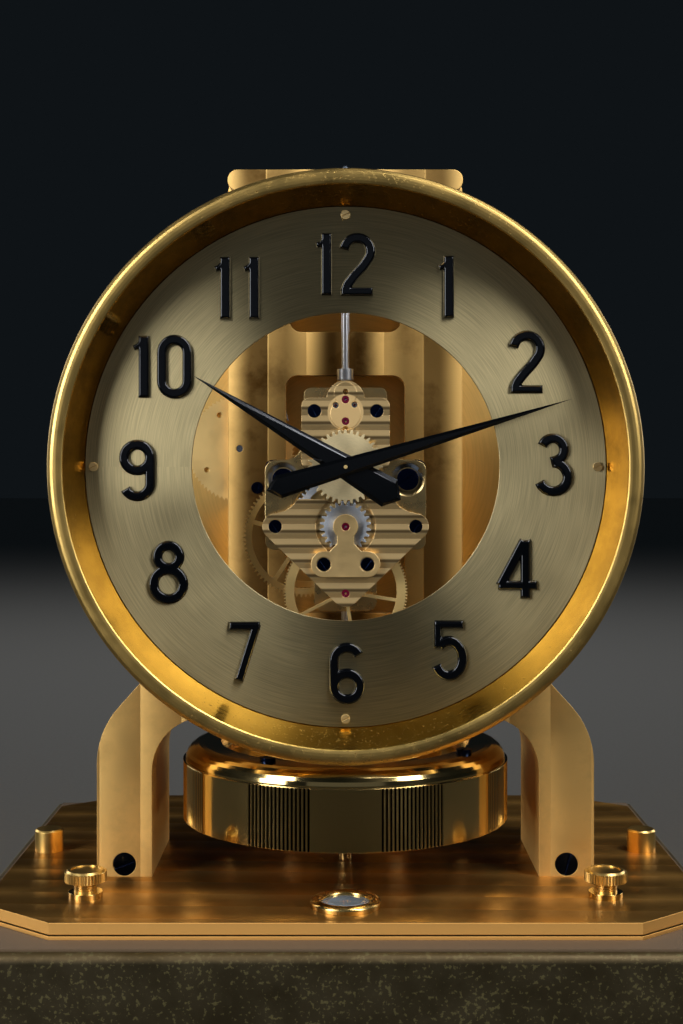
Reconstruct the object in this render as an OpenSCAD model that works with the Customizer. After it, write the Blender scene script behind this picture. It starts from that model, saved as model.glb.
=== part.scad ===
// Mantel clock wound by changes of air temperature, shown without its glass cover.
// The clock stands on a brass plinth, faces -Y, and rests on the plane Z = 0.

/* [Plinth] */
// Width of the plinth along X
plinth_w = 203; // [201:0.5:206]
// Depth of the plinth along Y
plinth_d = 165; // [161:0.5:170]
// Height of the plinth without its feet
plinth_h = 20; // [16:0.5:26]
// Radius of the plinth's upper edges
plinth_round = 2.2; // [1:0.1:2.6]
// Thickness of the plinth's side walls
plinth_wall = 3; // [2:0.25:4]
// Thickness of the plinth's top
plinth_top_t = 3; // [2:0.25:4]
// Height of the round feet
foot_h = 3.5; // [2:0.5:6]
// Diameter of the round feet
foot_d = 16; // [12:1:20]
// Distance of a foot's centre from the plinth's sides
foot_inset = 16; // [14:1:22]
// Thickness of the sheet that closes the plinth from below
bottom_sheet_t = 1.2; // [0.8:0.2:2]
// Thickness of the soft strip that the glass cover would stand on
seat_t = 0.6; // [0.4:0.1:0.8]

/* [Deck plates] */
// Width of both deck plates
deck_w = 190; // [186:0.5:192]
// Depth of both deck plates
deck_d = 145; // [143:0.5:147]
// Length cut off each corner of the deck plates
deck_chamfer = 20.7; // [16:0.5:24]
// Thickness of the fixed lower plate
lower_t = 1.4; // [1:0.1:2]
// Gap between the plates when the clock stands level
level_gap = 0.4; // [0.35:0.05:0.8]
// Thickness of the levelled upper plate
upper_t = 3; // [2.6:0.1:4]
// Diameter of the short posts beside the legs
post_d = 8.3; // [6:0.5:10]
// Height of the short posts
post_h = 6.5; // [4:0.5:8]
// Distance of a post from the clock's middle along X
post_x = 88; // [84:0.5:89]
// Place of the posts along Y
post_y = -1.5; // [-10:0.5:10]

/* [Levelling] */
// Distance of a levelling screw from the middle along X
screw_x = 69; // [66:0.5:74]
// Place of the levelling screws along Y
screw_y = -49.5; // [-52:0.5:-46]
// Diameter of the knurled head
knob_d = 11.2; // [9:0.2:13]
// Height of the knurled head
knob_h = 3; // [2:0.25:4]
// Number of ridges on the knurled head
knob_ridges = 44; // [30:2:60]
// Diameter of the levelling screw's thread
thread_d = 6; // [5:0.25:6.5]
// Height of the head's underside over the deck
knob_lift = 4.3; // [4:0.1:6]
// Diameter of the threaded bush's collar
bush_d = 9; // [8.5:0.25:10]
// Height of the bush's collar over the deck
bush_h = 1.5; // [1:0.25:1.9]
// Diameter of the rear pivot pin
pivot_d = 4; // [3:0.5:6]
// Place of the rear pivot along Y
pivot_y = 60; // [56:0.5:62]
// Outer diameter of the spirit level
level_d = 18.6; // [16:0.2:20]
// Diameter of the spirit level's glass
level_glass_d = 12.6; // [10:0.2:13.5]
// Height of the spirit level's ring over the deck
level_h = 2; // [1.5:0.1:2.6]
// Place of the spirit level along Y
level_y = -57.5; // [-60:0.5:-54]

/* [Frame] */
// Place of the frame's front face along Y
frame_y = -30.5; // [-31:0.25:-30]
// Depth of the frame along Y
frame_depth = 42; // [41.5:0.25:44]
// Thickness of the frame's front
front_t = 4; // [3.5:0.1:4.2]
// Thickness of the frame's other walls
frame_wall = 3; // [2.4:0.1:3.4]
// Place of the tower's front face along Y
tower_y = -7; // [-7.4:0.1:-6.8]
// Width of the tower
tower_w = 68.8; // [68:0.1:70]
// Height of the tower's top over the axis
tower_top = 85.4; // [84:0.1:88]
// Depth of the lower body's top below the axis
body_drop = 46; // [45:0.5:49]
// Place of the suspension bracket's front along Y
bracket_y = -16.5; // [-20:0.5:-14]
// Height of the suspension bracket
bracket_h = 6; // [4:0.5:8]
// Radius of the tower's upper corners
tower_round = 5; // [4:0.25:8]
// Width over both legs
leg_span = 138.2; // [137:0.2:141]
// Width of one leg
leg_w = 15.3; // [14:0.1:15.6]
// Radius of the outer shoulder above each leg
shoulder_r = 23.6; // [20:0.2:26]
// Depth of the shoulder's centre below the axis
shoulder_drop = 82.6; // [80:0.2:86]
// Slope of the edge above the shoulder, in degrees
shoulder_slope = 48; // [46:0.5:50]
// Depth of the arch's top below the axis
arch_drop = 69.5; // [69:0.1:71]
// Corner radius of the arch between the legs
arch_r = 15.2; // [12:0.2:18]
// Width of the lower window
window_w = 35; // [34:0.1:35.4]
// Height of the lower window's top over the axis
window_top = 26.8; // [25:0.1:28]
// Depth of the lower window's bottom below the axis
window_drop = 43; // [41:0.5:44]
// Corner radius of both windows
window_r = 3.6; // [2.5:0.1:5]
// Height of the upper window's bottom over the axis
upper_window_z = 39.5; // [37:0.2:42]
// Height of the upper window's top over the axis
upper_window_top = 64; // [58:0.5:70]
// Diameter of the blued screws in the legs
leg_screw_d = 6.3; // [5:0.1:7]
// Height of the leg screws over the deck
leg_screw_z = 3.5; // [3.5:0.1:5]
// Height of the blocks inside the legs
leg_block_h = 11; // [8:0.5:16]
// Depth of the blocks inside the legs
leg_block_d = 16; // [12:0.5:30]

/* [Bezel and dial] */
// Outer diameter of the bezel
bezel_d = 156.4; // [154:0.2:157]
// Place of the bezel's front crest along Y
bezel_y = -57; // [-58:0.25:-56]
// Radius of the bezel's front crest
crest_r = 75.6; // [75:0.1:76]
// Visible diameter of the dial
dial_d = 138.8; // [137:0.1:140]
// Diameter of the dial's window
dial_hole_d = 82.2; // [80:0.1:84]
// Place of the dial's front face along Y
dial_y = -47.5; // [-47.8:0.1:-47.2]
// Thickness of the dial
dial_t = 1; // [0.8:0.1:1.2]
// Width of the bezel's flange behind the dial
flange_w = 8; // [7:0.25:9]
// Thickness of the bezel's sheet
bezel_t = 1.2; // [1:0.1:1.6]
// Radius of the circle on which the numerals are centred
numeral_r = 54.8; // [53:0.1:56]
// Height of a numeral
numeral_h = 16.5; // [14:0.1:17]
// Width of a numeral's stroke
stroke = 2.5; // [2:0.1:2.8]
// Thickness of the applied numerals
numeral_t = 1; // [0.6:0.1:1.1]
// Diameter of the small dial screws
dial_screw_d = 2.4; // [2:0.1:3]

/* [Hands] */
// Length of the minute hand from the axis to its tip
minute_len = 62.8; // [58:0.2:66]
// Length of the hour hand from the axis to its tip
hour_len = 47.5; // [44:0.2:50]
// Clockwise angle of the minute hand from twelve, in degrees
minute_angle = 73.3; // [0:0.1:360]
// Clockwise angle of the hour hand from twelve, in degrees
hour_angle = 300.9; // [0:0.1:360]
// Thickness of a hand
hand_t = 0.6; // [0.4:0.1:0.7]

/* [Movement] */
// Number of teeth of the cannon pinion
cannon_teeth = 8; // [8]
// Number of teeth of the minute wheel
minute_teeth = 64; // [64]
// Number of teeth of the steel minute pinion
minute_pinion_teeth = 24; // [24]
// Number of teeth of the hour wheel
hour_teeth = 36; // [36]
// Distance from the axis down to the minute wheel's arbor
motion_c = 16.2; // [16:0.05:16.4]
// Distance from the axis up to the escape wheel's arbor
escape_c = 12.4; // [12.2:0.05:12.6]
// Place of the idler's arbor left of the axis
idler_x = -11.6; // [-12:0.1:-11.2]
// Depth of the idler's arbor below the axis
idler_drop = 19.4; // [19:0.1:19.8]
// Distance from the escape wheel's arbor up to the pallet arbor
pallet_c = 5.9; // [5.8:0.05:6]
// Distance from the axis down to the second wheel's arbor
second_c = 34.4; // [34.3:0.05:34.5]
// Module of the second wheel
second_module = 0.28; // [0.28]
// Thickness of the train's wheels
wheel_t = 0.6; // [0.5:0.05:0.65]
// Diameter of a train arbor
arbor_d = 1.4; // [1.2:0.1:1.6]
// Diameter of a train pivot
pivot_hole_d = 0.5; // [0.4:0.05:0.6]
// Width of the upper bridge
upper_bridge_w = 24; // [23:0.2:25]
// Radius of the round plate lobe at each lower bridge screw
lobe_r = 3.5; // [3.2:0.1:3.8]
// Diameter of the small blued screws
bridge_screw_d = 3.5; // [3:0.1:3.8]
// Diameter of the two large blued screws
plate_screw_d = 6; // [5:0.1:6.4]

/* [Winding] */
// Place of the barrel's arbor left of the axis
barrel_x = -31; // [-31.2:0.1:-30.8]
// Height of the barrel's arbor over the axis
barrel_z = 5.3; // [5.1:0.1:5.5]
// Depth of the barrel along Y
barrel_depth = 5.4; // [5:0.1:5.6]
// Radius over the ratchet wheel's teeth
ratchet_r = 16; // [15.8:0.1:16.2]
// Number of teeth of the ratchet wheel
ratchet_teeth = 72; // [60:1:80]
// Radius at which the chain runs on its pulley
pulley_r = 5; // [4.4:0.1:5.4]
// Radius of the winding chain
chain_r = 0.4; // [0.3:0.05:0.5]
// Height of the guide roller over the axis
roller_z = 27; // [26:0.25:28]
// Radius at which the chain runs on the guide roller
roller_r = 2; // [1.6:0.1:2.2]
// Outer diameter of the bellows drum
drum_d = 96; // [94:0.5:97]
// Depth of the bellows drum along Y
drum_depth = 42; // [40:0.5:46]
// Height of the drum's centre over the axis
drum_rise = 1; // [0:0.25:2]
// Thickness of the drum's sheet
drum_t = 1.5; // [1:0.1:2]
// Outer diameter of the bellows' folds
bellows_d = 82; // [76:0.5:83]
// Number of folds in the bellows
bellows_folds = 5; // [4:1:6]
// Travel of the pressure plate along Y
bellows_travel = 6; // [4:0.5:7]

/* [Pendulum] */
// Outer diameter of the pendulum
pendulum_d = 94; // [92:0.2:95]
// Gap between the bezel and the pendulum's top
pendulum_gap = 1.1; // [1:0.1:2]
// Height of the pendulum's lower edge over the deck
pendulum_lift = 13.5; // [12:0.25:16]
// Place of the pendulum's axis along Y
pendulum_y = -10.5; // [-10.8:0.1:-10.4]
// Height of the pendulum's upright wall
pendulum_wall_h = 16.5; // [14:0.25:17]
// Height of the rounded shoulder above the wall
pendulum_shoulder = 4.7; // [4:0.1:5]
// Number of groups of flutes round the pendulum
flute_groups = 8; // [4:1:8]
// Number of flutes in a group
flutes = 16; // [10:1:16]
// Angle from one flute to the next, in degrees
flute_pitch = 1.4; // [1.3:0.05:1.5]
// Diameter of the pendulum's staff
staff_d = 2.3; // [2:0.1:2.6]
// Height of the staff's upper end over the axis
staff_top = 50; // [46:0.5:54]
// Diameter of the collar on the staff
collar_d = 4.8; // [4:0.1:5]
// Height of the collar's middle over the axis
collar_z = 26.8; // [26:0.1:28]
// Diameter of the suspension wire
wire_d = 0.3; // [0.25:0.05:0.4]
// Diameter of the lock post under the pendulum
lock_d = 3.5; // [3:0.1:4]

/* [Hidden] */
$fn = 64;

fit = 0.02;
running = 0.05;
gap = 0.3;

plinth_z = foot_h + plinth_h;
lower_z = plinth_z + lower_t;
upper_z = lower_z + level_gap;
deck_z = upper_z + upper_t;
pendulum_drop = bezel_d / 2 + pendulum_gap + pendulum_wall_h + pendulum_shoulder;
axis_rise = pendulum_drop + pendulum_lift;
axis_z = deck_z + axis_rise;
seat_edge = 0.4;

function polar(r, a) = [r * cos(a), r * sin(a)];
function unit(v) = v / norm(v);
function heading(a, b) = atan2(b.y - a.y, b.x - a.x);

// Everything up to the hands is drawn as it is seen from the front, with the axis at [0, 0],
// and placed by the Y of its front and back faces.
module plate_at(front, back) {
    translate([0, back, axis_z]) rotate([90, 0, 0]) linear_extrude(back - front) children();
}
module rod_at(p, front, back, r) {
    translate([p.x, back, axis_z + p.y]) rotate([90, 0, 0]) cylinder(h = back - front, r = r);
}
module turned_at(p, y = 0) {
    translate([p.x, y, axis_z + p.y]) rotate([90, 0, 0]) children();
}
module both_sides() {
    children();
    mirror([1, 0, 0]) children();
}
module bar(a, b, w) {
    translate(a) rotate(heading(a, b)) translate([0, -w / 2]) square([norm(b - a), w]);
}
module disc(p, r) {
    translate(p) circle(r);
}
module octagon(w, d, cut) {
    polygon([[-w / 2 + cut, -d / 2], [w / 2 - cut, -d / 2], [w / 2, -d / 2 + cut * 0.8],
        [w / 2, d / 2 - cut * 0.8], [w / 2 - cut, d / 2], [-w / 2 + cut, d / 2],
        [-w / 2, d / 2 - cut * 0.8], [-w / 2, -d / 2 + cut * 0.8]]);
}
module rounded_rect(x0, x1, y0, y1, r) {
    translate([x0 + r, y0]) square([x1 - x0 - 2 * r, y1 - y0]);
    translate([x0, y0 + r]) square([x1 - x0, y1 - y0 - 2 * r]);
    for (x = [x0 + r, x1 - r], y = [y0 + r, y1 - r]) disc([x, y], r);
}

// Tube swept along points, six or eight flat sides round, closed at both ends.
function ring_at(p, t, ref, r, sides) =
    let(n = unit(cross(t, ref)), b = cross(n, t))
    [for (k = [0:sides - 1]) p + r * (cos(360 * k / sides) * n + sin(360 * k / sides) * b)];
function tangent(path, i) =
    unit(path[min(i + 1, len(path) - 1)] - path[max(i - 1, 0)]);
module tube(path, r, sides, ref) {
    n = len(path);
    points = [for (i = [0:n - 1]) each ring_at(path[i], tangent(path, i), ref, r, sides)];
    walls = [for (i = [0:n - 2], k = [0:sides - 1], half = [0, 1])
        let(a = i * sides + k, b = i * sides + (k + 1) % sides)
        half == 0 ? [a, b, a + sides] : [b, b + sides, a + sides]];
    caps = [for (k = [1:sides - 2], end = [0, 1])
        end == 0 ? [0, k + 1, k] : [(n - 1) * sides, (n - 1) * sides + k, (n - 1) * sides + k + 1]];
    polyhedron(points, concat(walls, caps));
}

// Teeth: a short root, a flank to the pitch circle and a narrowed tip, with backlash.
// The phase is the direction of one tooth's middle; a leaf is a tooth of a small pinion.
backlash = 0.15;
leaf_max = 16;
function tooth_steps(teeth, m) =
    let(leaf = teeth <= leaf_max, q = 90 / teeth, r = m * teeth / 2)
    [[r - (leaf ? 1.25 : 1.2) * m, q * (leaf ? 0.8 : 1.15)],
        [r, q * (1 - backlash)],
        [r + (leaf ? 0.75 : 0.85) * m, q * 0.36]];
module gear_2d(teeth, m, phase) {
    steps = tooth_steps(teeth, m);
    polygon([for (i = [0:teeth - 1], side = [0, 1], k = [0:2])
        let(s = steps[side == 0 ? k : 2 - k], a = phase + 360 * i / teeth)
        polar(s[0], a + (side == 0 ? -s[1] : s[1]))]);
}
// Direction of a tooth on the driven wheel that meshes with a wheel at the given phase.
function mesh_phase(theta, phase, n1, n2) =
    theta + 180 - 360 / n2 * (0.5 - (theta - phase) * n1 / 360);
module spokes_2d(count, r_in, r_out, w, phase) {
    for (i = [0:count - 1]) rotate(phase + 360 * i / count) translate([r_in, -w / 2]) square([r_out - r_in, w]);
}
module spoked_gear_2d(teeth, m, phase, rim, hub_r, count, w, spoke_phase) {
    inner = m * teeth / 2 - 1.2 * m - rim;
    difference() {
        gear_2d(teeth, m, phase);
        circle(inner);
    }
    circle(hub_r);
    spokes_2d(count, hub_r / 2, inner + rim / 2, w, spoke_phase);
}

// Layers of the movement along Y, from the frame's face towards the dial.
pillar_plate_t = 2;
pillar_y = frame_y - pillar_plate_t;
main_back = pillar_y - 3.5;
main_t = 1.8;
main_front = main_back - main_t;
layer_step = wheel_t + gap;
layer_c = pillar_y - 0.8;
layer_b = layer_c - layer_step;
layer_a = layer_b - layer_step;
sink_floor = main_back - main_t / 2;
minute_back = sink_floor - 0.2;
upper_front = main_front - 1.6;
bridge_t = 2.5;
lower_front = main_front - bridge_t;
hour_t = 0.7;
hour_back = upper_front - 0.2;
cock_back = lower_front;
cock_front = cock_back - 1.4;
hour_hand_back = dial_y - 1.5;
minute_hand_back = hour_hand_back - hand_t - 1.1;

// Layers behind the pillar plate, and behind the tower's front.
lead_front = frame_y + 0.6;
lead_t = 0.8;
train_bridge_y = lead_front + lead_t + 0.7;
train_bridge_t = 1.5;
inner_y = frame_y + front_t;
tower_inner = tower_y + front_t;
ratchet_front = tower_inner + gap;
ratchet_t = 0.6;
great_front = ratchet_front + ratchet_t + 0.4;
great_t = 0.8;
drum_back_y = great_front + great_t + barrel_depth;
pulley_front = drum_back_y + 0.5;
pulley_w = 2.4;
chain_y = pulley_front + pulley_w / 2;
winding_bridge_y = pulley_front + pulley_w + 0.5;
winding_bridge_t = 1.4;
frame_back = frame_y + frame_depth;

// Train: arbors, modules and the phases that put the wheels in mesh.
axis = [0, 0];
motion = [0, -motion_c];
escape = [0, escape_c];
pallet = [0, escape_c + pallet_c];
second = [0, -second_c];
centre_teeth = 64;
escape_pinion_teeth = 16;
escape_module = 2 * escape_c / (centre_teeth + escape_pinion_teeth);
centre_pinion_teeth = 10;
third_teeth = 80;
third_pinion_teeth = 12;
second_teeth = 120;
second_pinion_teeth = 12;
idler_teeth = 85;
great_teeth = 72;
third_c = 16.2;
third_module = 2 * third_c / (third_teeth + centre_pinion_teeth);
third_second_c = second_module * (second_teeth + third_pinion_teeth) / 2;
third_z = (pow(third_second_c, 2) - pow(third_c, 2) - pow(second_c, 2)) / (2 * second_c);
third = [sqrt(pow(third_c, 2) - pow(third_z, 2)), third_z];
barrel_p = [barrel_x, barrel_z];
idler = [idler_x, -idler_drop];
lead_teeth = 83;
lead_module = 2 * norm(second - idler) / (second_pinion_teeth + lead_teeth);
winding_module = 2 * norm(barrel_p - idler) / (great_teeth + idler_teeth);
cannon_module = 2 * motion_c / (cannon_teeth + minute_teeth);
hour_module = 2 * motion_c / (hour_teeth + minute_pinion_teeth);

hour_phase = 90;
minute_pinion_phase = mesh_phase(-90, hour_phase, hour_teeth, minute_pinion_teeth);
cannon_phase = 0;
minute_phase = mesh_phase(-90, cannon_phase, cannon_teeth, minute_teeth);
centre_pinion_phase = 0;
third_phase = mesh_phase(heading(axis, third), centre_pinion_phase, centre_pinion_teeth, third_teeth);
third_pinion_phase = 0;
second_phase = mesh_phase(heading(third, second), third_pinion_phase, third_pinion_teeth, second_teeth);
centre_phase = 0;
escape_pinion_phase = mesh_phase(90, centre_phase, centre_teeth, escape_pinion_teeth);
second_pinion_phase = 0;
lead_phase = mesh_phase(heading(second, idler), second_pinion_phase, second_pinion_teeth, lead_teeth);
idler_phase = 0;
great_phase = mesh_phase(heading(idler, barrel_p), idler_phase, idler_teeth, great_teeth);

// Places of pillars, screws and fixings, seen from the front.
plate_pillars = [[-17, -3.4], [17, -3.4]];
lobe_pillars = [[-19.1, -motion_c], [19.1, -motion_c]];
upper_pillars = [[-8.5, escape_c + 2.8], [8.5, escape_c + 2.8]];
cock_screws = [[-5.9, -motion_c - 10.2], [5.9, -motion_c - 10.2]];
rear_posts = [[-20.4, 0.2], [20.4, 0.2], [19.4, -motion_c]];
post_screws = [rear_posts[0], rear_posts[1]];
tower_screw = [-25.8, -6.2];
train_pillars = [[0, 6], [6.3, -second_c - 3.1], [-6.3, -second_c - 3.1]];
winding_pillars = [[-16.5, 33], [-27, -37], [21, -22]];
dial_posts = [[-20, 62], [20, 62], [-40, -52], [40, -52]];
escape_tip = 4.7;
stone_r = escape_tip + 0.44;
stone_at = [escape + polar(stone_r, 121.6), escape + polar(stone_r, 61.5)];
jewel_r = 1.05;
pillar_r = 1.7;
recess_r = 8.2;
click_stud = [-20.5, 23.5];
leg_mid = leg_span / 2 - leg_w / 2;
second_arbor_r = arbor_d / 2 + 0.2;
winding_r = 1;

module plinth() {
    color("darkkhaki") difference() {
        translate([0, 0, foot_h]) intersection() {
            linear_extrude(plinth_h)
                rounded_rect(-plinth_w / 2, plinth_w / 2, -plinth_d / 2, plinth_d / 2, plinth_round);
            rotate([90, 0, 0]) translate([0, 0, -plinth_d]) linear_extrude(2 * plinth_d)
                rounded_rect(-plinth_w / 2, plinth_w / 2, -plinth_h, plinth_h, plinth_round);
            rotate([90, 0, 90]) translate([0, 0, -plinth_w]) linear_extrude(2 * plinth_w)
                rounded_rect(-plinth_d / 2, plinth_d / 2, -plinth_h, plinth_h, plinth_round);
        }
        difference() {
            translate([-plinth_w / 2 + plinth_wall, -plinth_d / 2 + plinth_wall, 0])
                cube([plinth_w - 2 * plinth_wall, plinth_d - 2 * plinth_wall, plinth_z - plinth_top_t]);
            for (p = foot_places) translate([p.x, p.y, foot_h + bottom_sheet_t]) cylinder(h = plinth_h, d = boss_d);
        }
        translate([0, pendulum_y, plinth_z - plinth_top_t - 1]) cylinder(h = plinth_top_t + 2, r = lock_hole_r);
    }
}
boss_d = 9;
foot_places = [for (x = [-1, 1], y = [-1, 1]) [x * (plinth_w / 2 - foot_inset), y * (plinth_d / 2 - foot_inset)]];

module bottom_sheet() {
    color("dimgray") translate([0, 0, foot_h]) linear_extrude(bottom_sheet_t)
        square([plinth_w - 2 * plinth_wall - gap, plinth_d - 2 * plinth_wall - gap], center = true);
}

module plinth_feet() {
    color("black") for (p = foot_places) translate([p.x, p.y, 0]) rotate_extrude() {
        square([foot_d / 2 - 1, foot_h]);
        translate([0, 1]) square([foot_d / 2, foot_h - 1]);
        translate([foot_d / 2 - 1, 1]) circle(1);
    }
}

module cover_seat() {
    color("saddlebrown") translate([0, 0, plinth_z]) linear_extrude(seat_t) difference() {
        square([plinth_w - 2 * (plinth_round + seat_edge), plinth_d - 2 * (plinth_round + seat_edge)],
            center = true);
        octagon(deck_w + 2 * gap, deck_d + 2 * gap, deck_chamfer);
    }
}

pivot_tip_z = upper_z + 1.6;
lock_hole_r = lock_d / 2 + 1.5;
module lower_plate() {
    ball_z = pivot_tip_z - running - pivot_d / 2;
    color("goldenrod") {
        difference() {
            translate([0, 0, plinth_z]) linear_extrude(lower_t) octagon(deck_w, deck_d, deck_chamfer);
            translate([0, pendulum_y, plinth_z - 1]) cylinder(h = lower_t + 2, r = lock_hole_r);
        }
        translate([0, pivot_y, lower_z - lower_t / 2]) cylinder(h = ball_z - lower_z + lower_t / 2, d = pivot_d * 0.8);
        translate([0, pivot_y, ball_z]) sphere(d = pivot_d);
    }
}

plate_hole_r = bush_d / 2 - 0.8;
level_seat_r = level_glass_d / 2 + 1.4;
level_depth = 1.8;
leg_shank_r = 1.5;
// The blocks inside the legs take the leg screws and are one piece with the plate.
module upper_plate() {
    leg_z = deck_z + leg_screw_z;
    color("goldenrod") difference() {
        union() {
            translate([0, 0, upper_z]) linear_extrude(upper_t) octagon(deck_w, deck_d, deck_chamfer);
            for (x = [-leg_mid, leg_mid])
                translate([x - leg_w / 2 + frame_wall + gap, inner_y + gap, deck_z - 1])
                    cube([leg_w - 2 * frame_wall - 2 * gap, leg_block_d, leg_block_h + 1]);
        }
        for (x = [-leg_mid, leg_mid]) translate([x, inner_y - 1, leg_z]) rotate([-90, 0, 0])
            cylinder(h = 10, r = leg_shank_r + fit);
        for (x = [-screw_x, screw_x]) translate([x, screw_y, 0]) cylinder(h = deck_z + 1, r = plate_hole_r);
        translate([0, level_y, deck_z - level_depth]) cylinder(h = level_depth + 1, r = level_seat_r + fit);
        translate([0, pendulum_y, 0]) cylinder(h = deck_z + 1, d = lock_d + 2 * running);
        translate([0, pivot_y, 0]) cylinder(h = pivot_tip_z, d = pivot_d + 4 * running);
    }
}

module cover_posts() {
    color("gold") for (x = [-post_x, post_x]) translate([x, post_y, deck_z]) {
        cylinder(h = post_h - 0.5, d = post_d);
        translate([0, 0, post_h - 0.5]) cylinder(h = 0.5, d1 = post_d, d2 = post_d - 1);
    }
}

module levelling_bushes() {
    color("gold") for (x = [-screw_x, screw_x]) translate([x, screw_y, 0]) difference() {
        union() {
            translate([0, 0, deck_z]) cylinder(h = bush_h, d = bush_d);
            translate([0, 0, upper_z]) cylinder(h = upper_t, r = plate_hole_r - fit);
        }
        cylinder(h = deck_z + bush_h + 1, d = thread_d + 2 * running);
    }
}

pad_h = 1.2;
pad_z = lower_z + running;
module screw_pad() {
    color("dimgray") translate([0, screw_y, pad_z]) {
        cylinder(h = 0.6, d1 = 1.6, d2 = thread_d - 2);
        translate([0, 0, 0.6]) cylinder(h = pad_h - 0.6, d = thread_d - 2);
    }
}
module screw_pad_left() {
    translate([-screw_x, 0, 0]) screw_pad();
}
module screw_pad_right() {
    translate([screw_x, 0, 0]) screw_pad();
}

thread_pitch = 0.6;
module levelling_screw() {
    shank_z = pad_z + pad_h + running;
    head_z = deck_z + knob_lift;
    color("gold") translate([0, screw_y, 0]) {
        difference() {
            translate([0, 0, shank_z]) cylinder(h = head_z - shank_z + 0.5, d = thread_d);
            for (k = [0:3]) translate([0, 0, deck_z + bush_h + 0.5 + k * thread_pitch]) rotate_extrude()
                polygon([[thread_d / 2 - 0.25, 0.15], [thread_d / 2 + 0.1, -0.05], [thread_d / 2 + 0.1, 0.35]]);
        }
        translate([0, 0, head_z]) linear_extrude(knob_h - 0.5) polygon([for (i = [0:knob_ridges - 1], k = [0, 1])
            polar(knob_d / 2 - 0.3 * k, 360 * (i + k / 2) / knob_ridges)]);
        translate([0, 0, head_z + knob_h - 0.5]) difference() {
            cylinder(h = 0.5, d1 = knob_d - 0.9, d2 = knob_d - 1.8);
            translate([0, 0, 0.2]) cylinder(h = 1, d = knob_d - 3.4);
        }
    }
}
module levelling_screw_left() {
    translate([-screw_x, 0, 0]) levelling_screw();
}
module levelling_screw_right() {
    translate([screw_x, 0, 0]) levelling_screw();
}

module level_cup() {
    rim_w = (level_d - level_glass_d) / 2;
    color("gold") translate([0, level_y, deck_z]) difference() {
        union() {
            rotate_extrude() {
                translate([level_glass_d / 2, 0]) square([rim_w, level_h / 2]);
                translate([level_glass_d / 2 + rim_w / 2, level_h / 2]) intersection() {
                    scale([1, level_h / rim_w]) circle(rim_w / 2);
                    translate([-rim_w, 0]) square([2 * rim_w, level_h]);
                }
            }
            translate([0, 0, -level_depth + gap]) cylinder(h = level_depth, r = level_seat_r);
        }
        translate([0, 0, -level_depth + gap + 0.5]) cylinder(h = level_depth + 2, d = level_glass_d);
    }
}

module level_glass() {
    color("lightcyan") translate([0, level_y, deck_z - level_depth + gap + 0.5]) {
        cylinder(h = level_depth, d = level_glass_d - 2 * fit);
        translate([0, 0, level_depth]) cylinder(h = 0.4, d1 = level_glass_d - 1, d2 = level_glass_d - 4);
    }
}

// Front view of the frame's lower body, whose top spreads over two shoulders into the legs.
module body_2d(inset) {
    centre = [leg_span / 2 - shoulder_r, -shoulder_drop];
    touch = centre + polar(shoulder_r - inset, 90 - shoulder_slope);
    top = -body_drop - inset;
    both_sides() {
        disc(centre, shoulder_r - inset);
        polygon([[0, top], [touch.x - (top - touch.y) / tan(shoulder_slope), top], touch, centre,
            [centre.x, -axis_rise], [0, -axis_rise]]);
        translate([centre.x, -axis_rise])
            square([leg_span / 2 - inset - centre.x, axis_rise - shoulder_drop]);
    }
}
module arch_2d(grow) {
    half = leg_span / 2 - leg_w + grow;
    r = arch_r + grow;
    top = -arch_drop + grow;
    translate([-half, -axis_rise - 1]) square([2 * half, axis_rise + 1 + top - r]);
    translate([-half + r, -axis_rise]) square([2 * half - 2 * r, axis_rise + top]);
    both_sides() disc([half - r, top - r], r);
}
module tower_2d(inset) {
    half = tower_w / 2 - inset;
    r = tower_round - inset;
    translate([-half, -body_drop - 1 + inset]) square([2 * half, body_drop + 1 + tower_top - 2 * inset - r]);
    translate([-half + r, 0]) square([2 * half - 2 * r, tower_top - inset]);
    both_sides() disc([half - r, tower_top - inset - r], r);
}
module windows_2d() {
    rounded_rect(-window_w / 2, window_w / 2, -window_drop, window_top, window_r);
    rounded_rect(-window_w / 2 + 1.1, window_w / 2 - 1.1, upper_window_z, upper_window_top, window_r);
}
leg_sink = 2.4;
suspension_r = 1.6;
roller_pin_r = 0.8;
stud_r = 0.7;
roller_at = [barrel_x + pulley_r, chain_y + roller_r, axis_z + roller_z];
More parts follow.
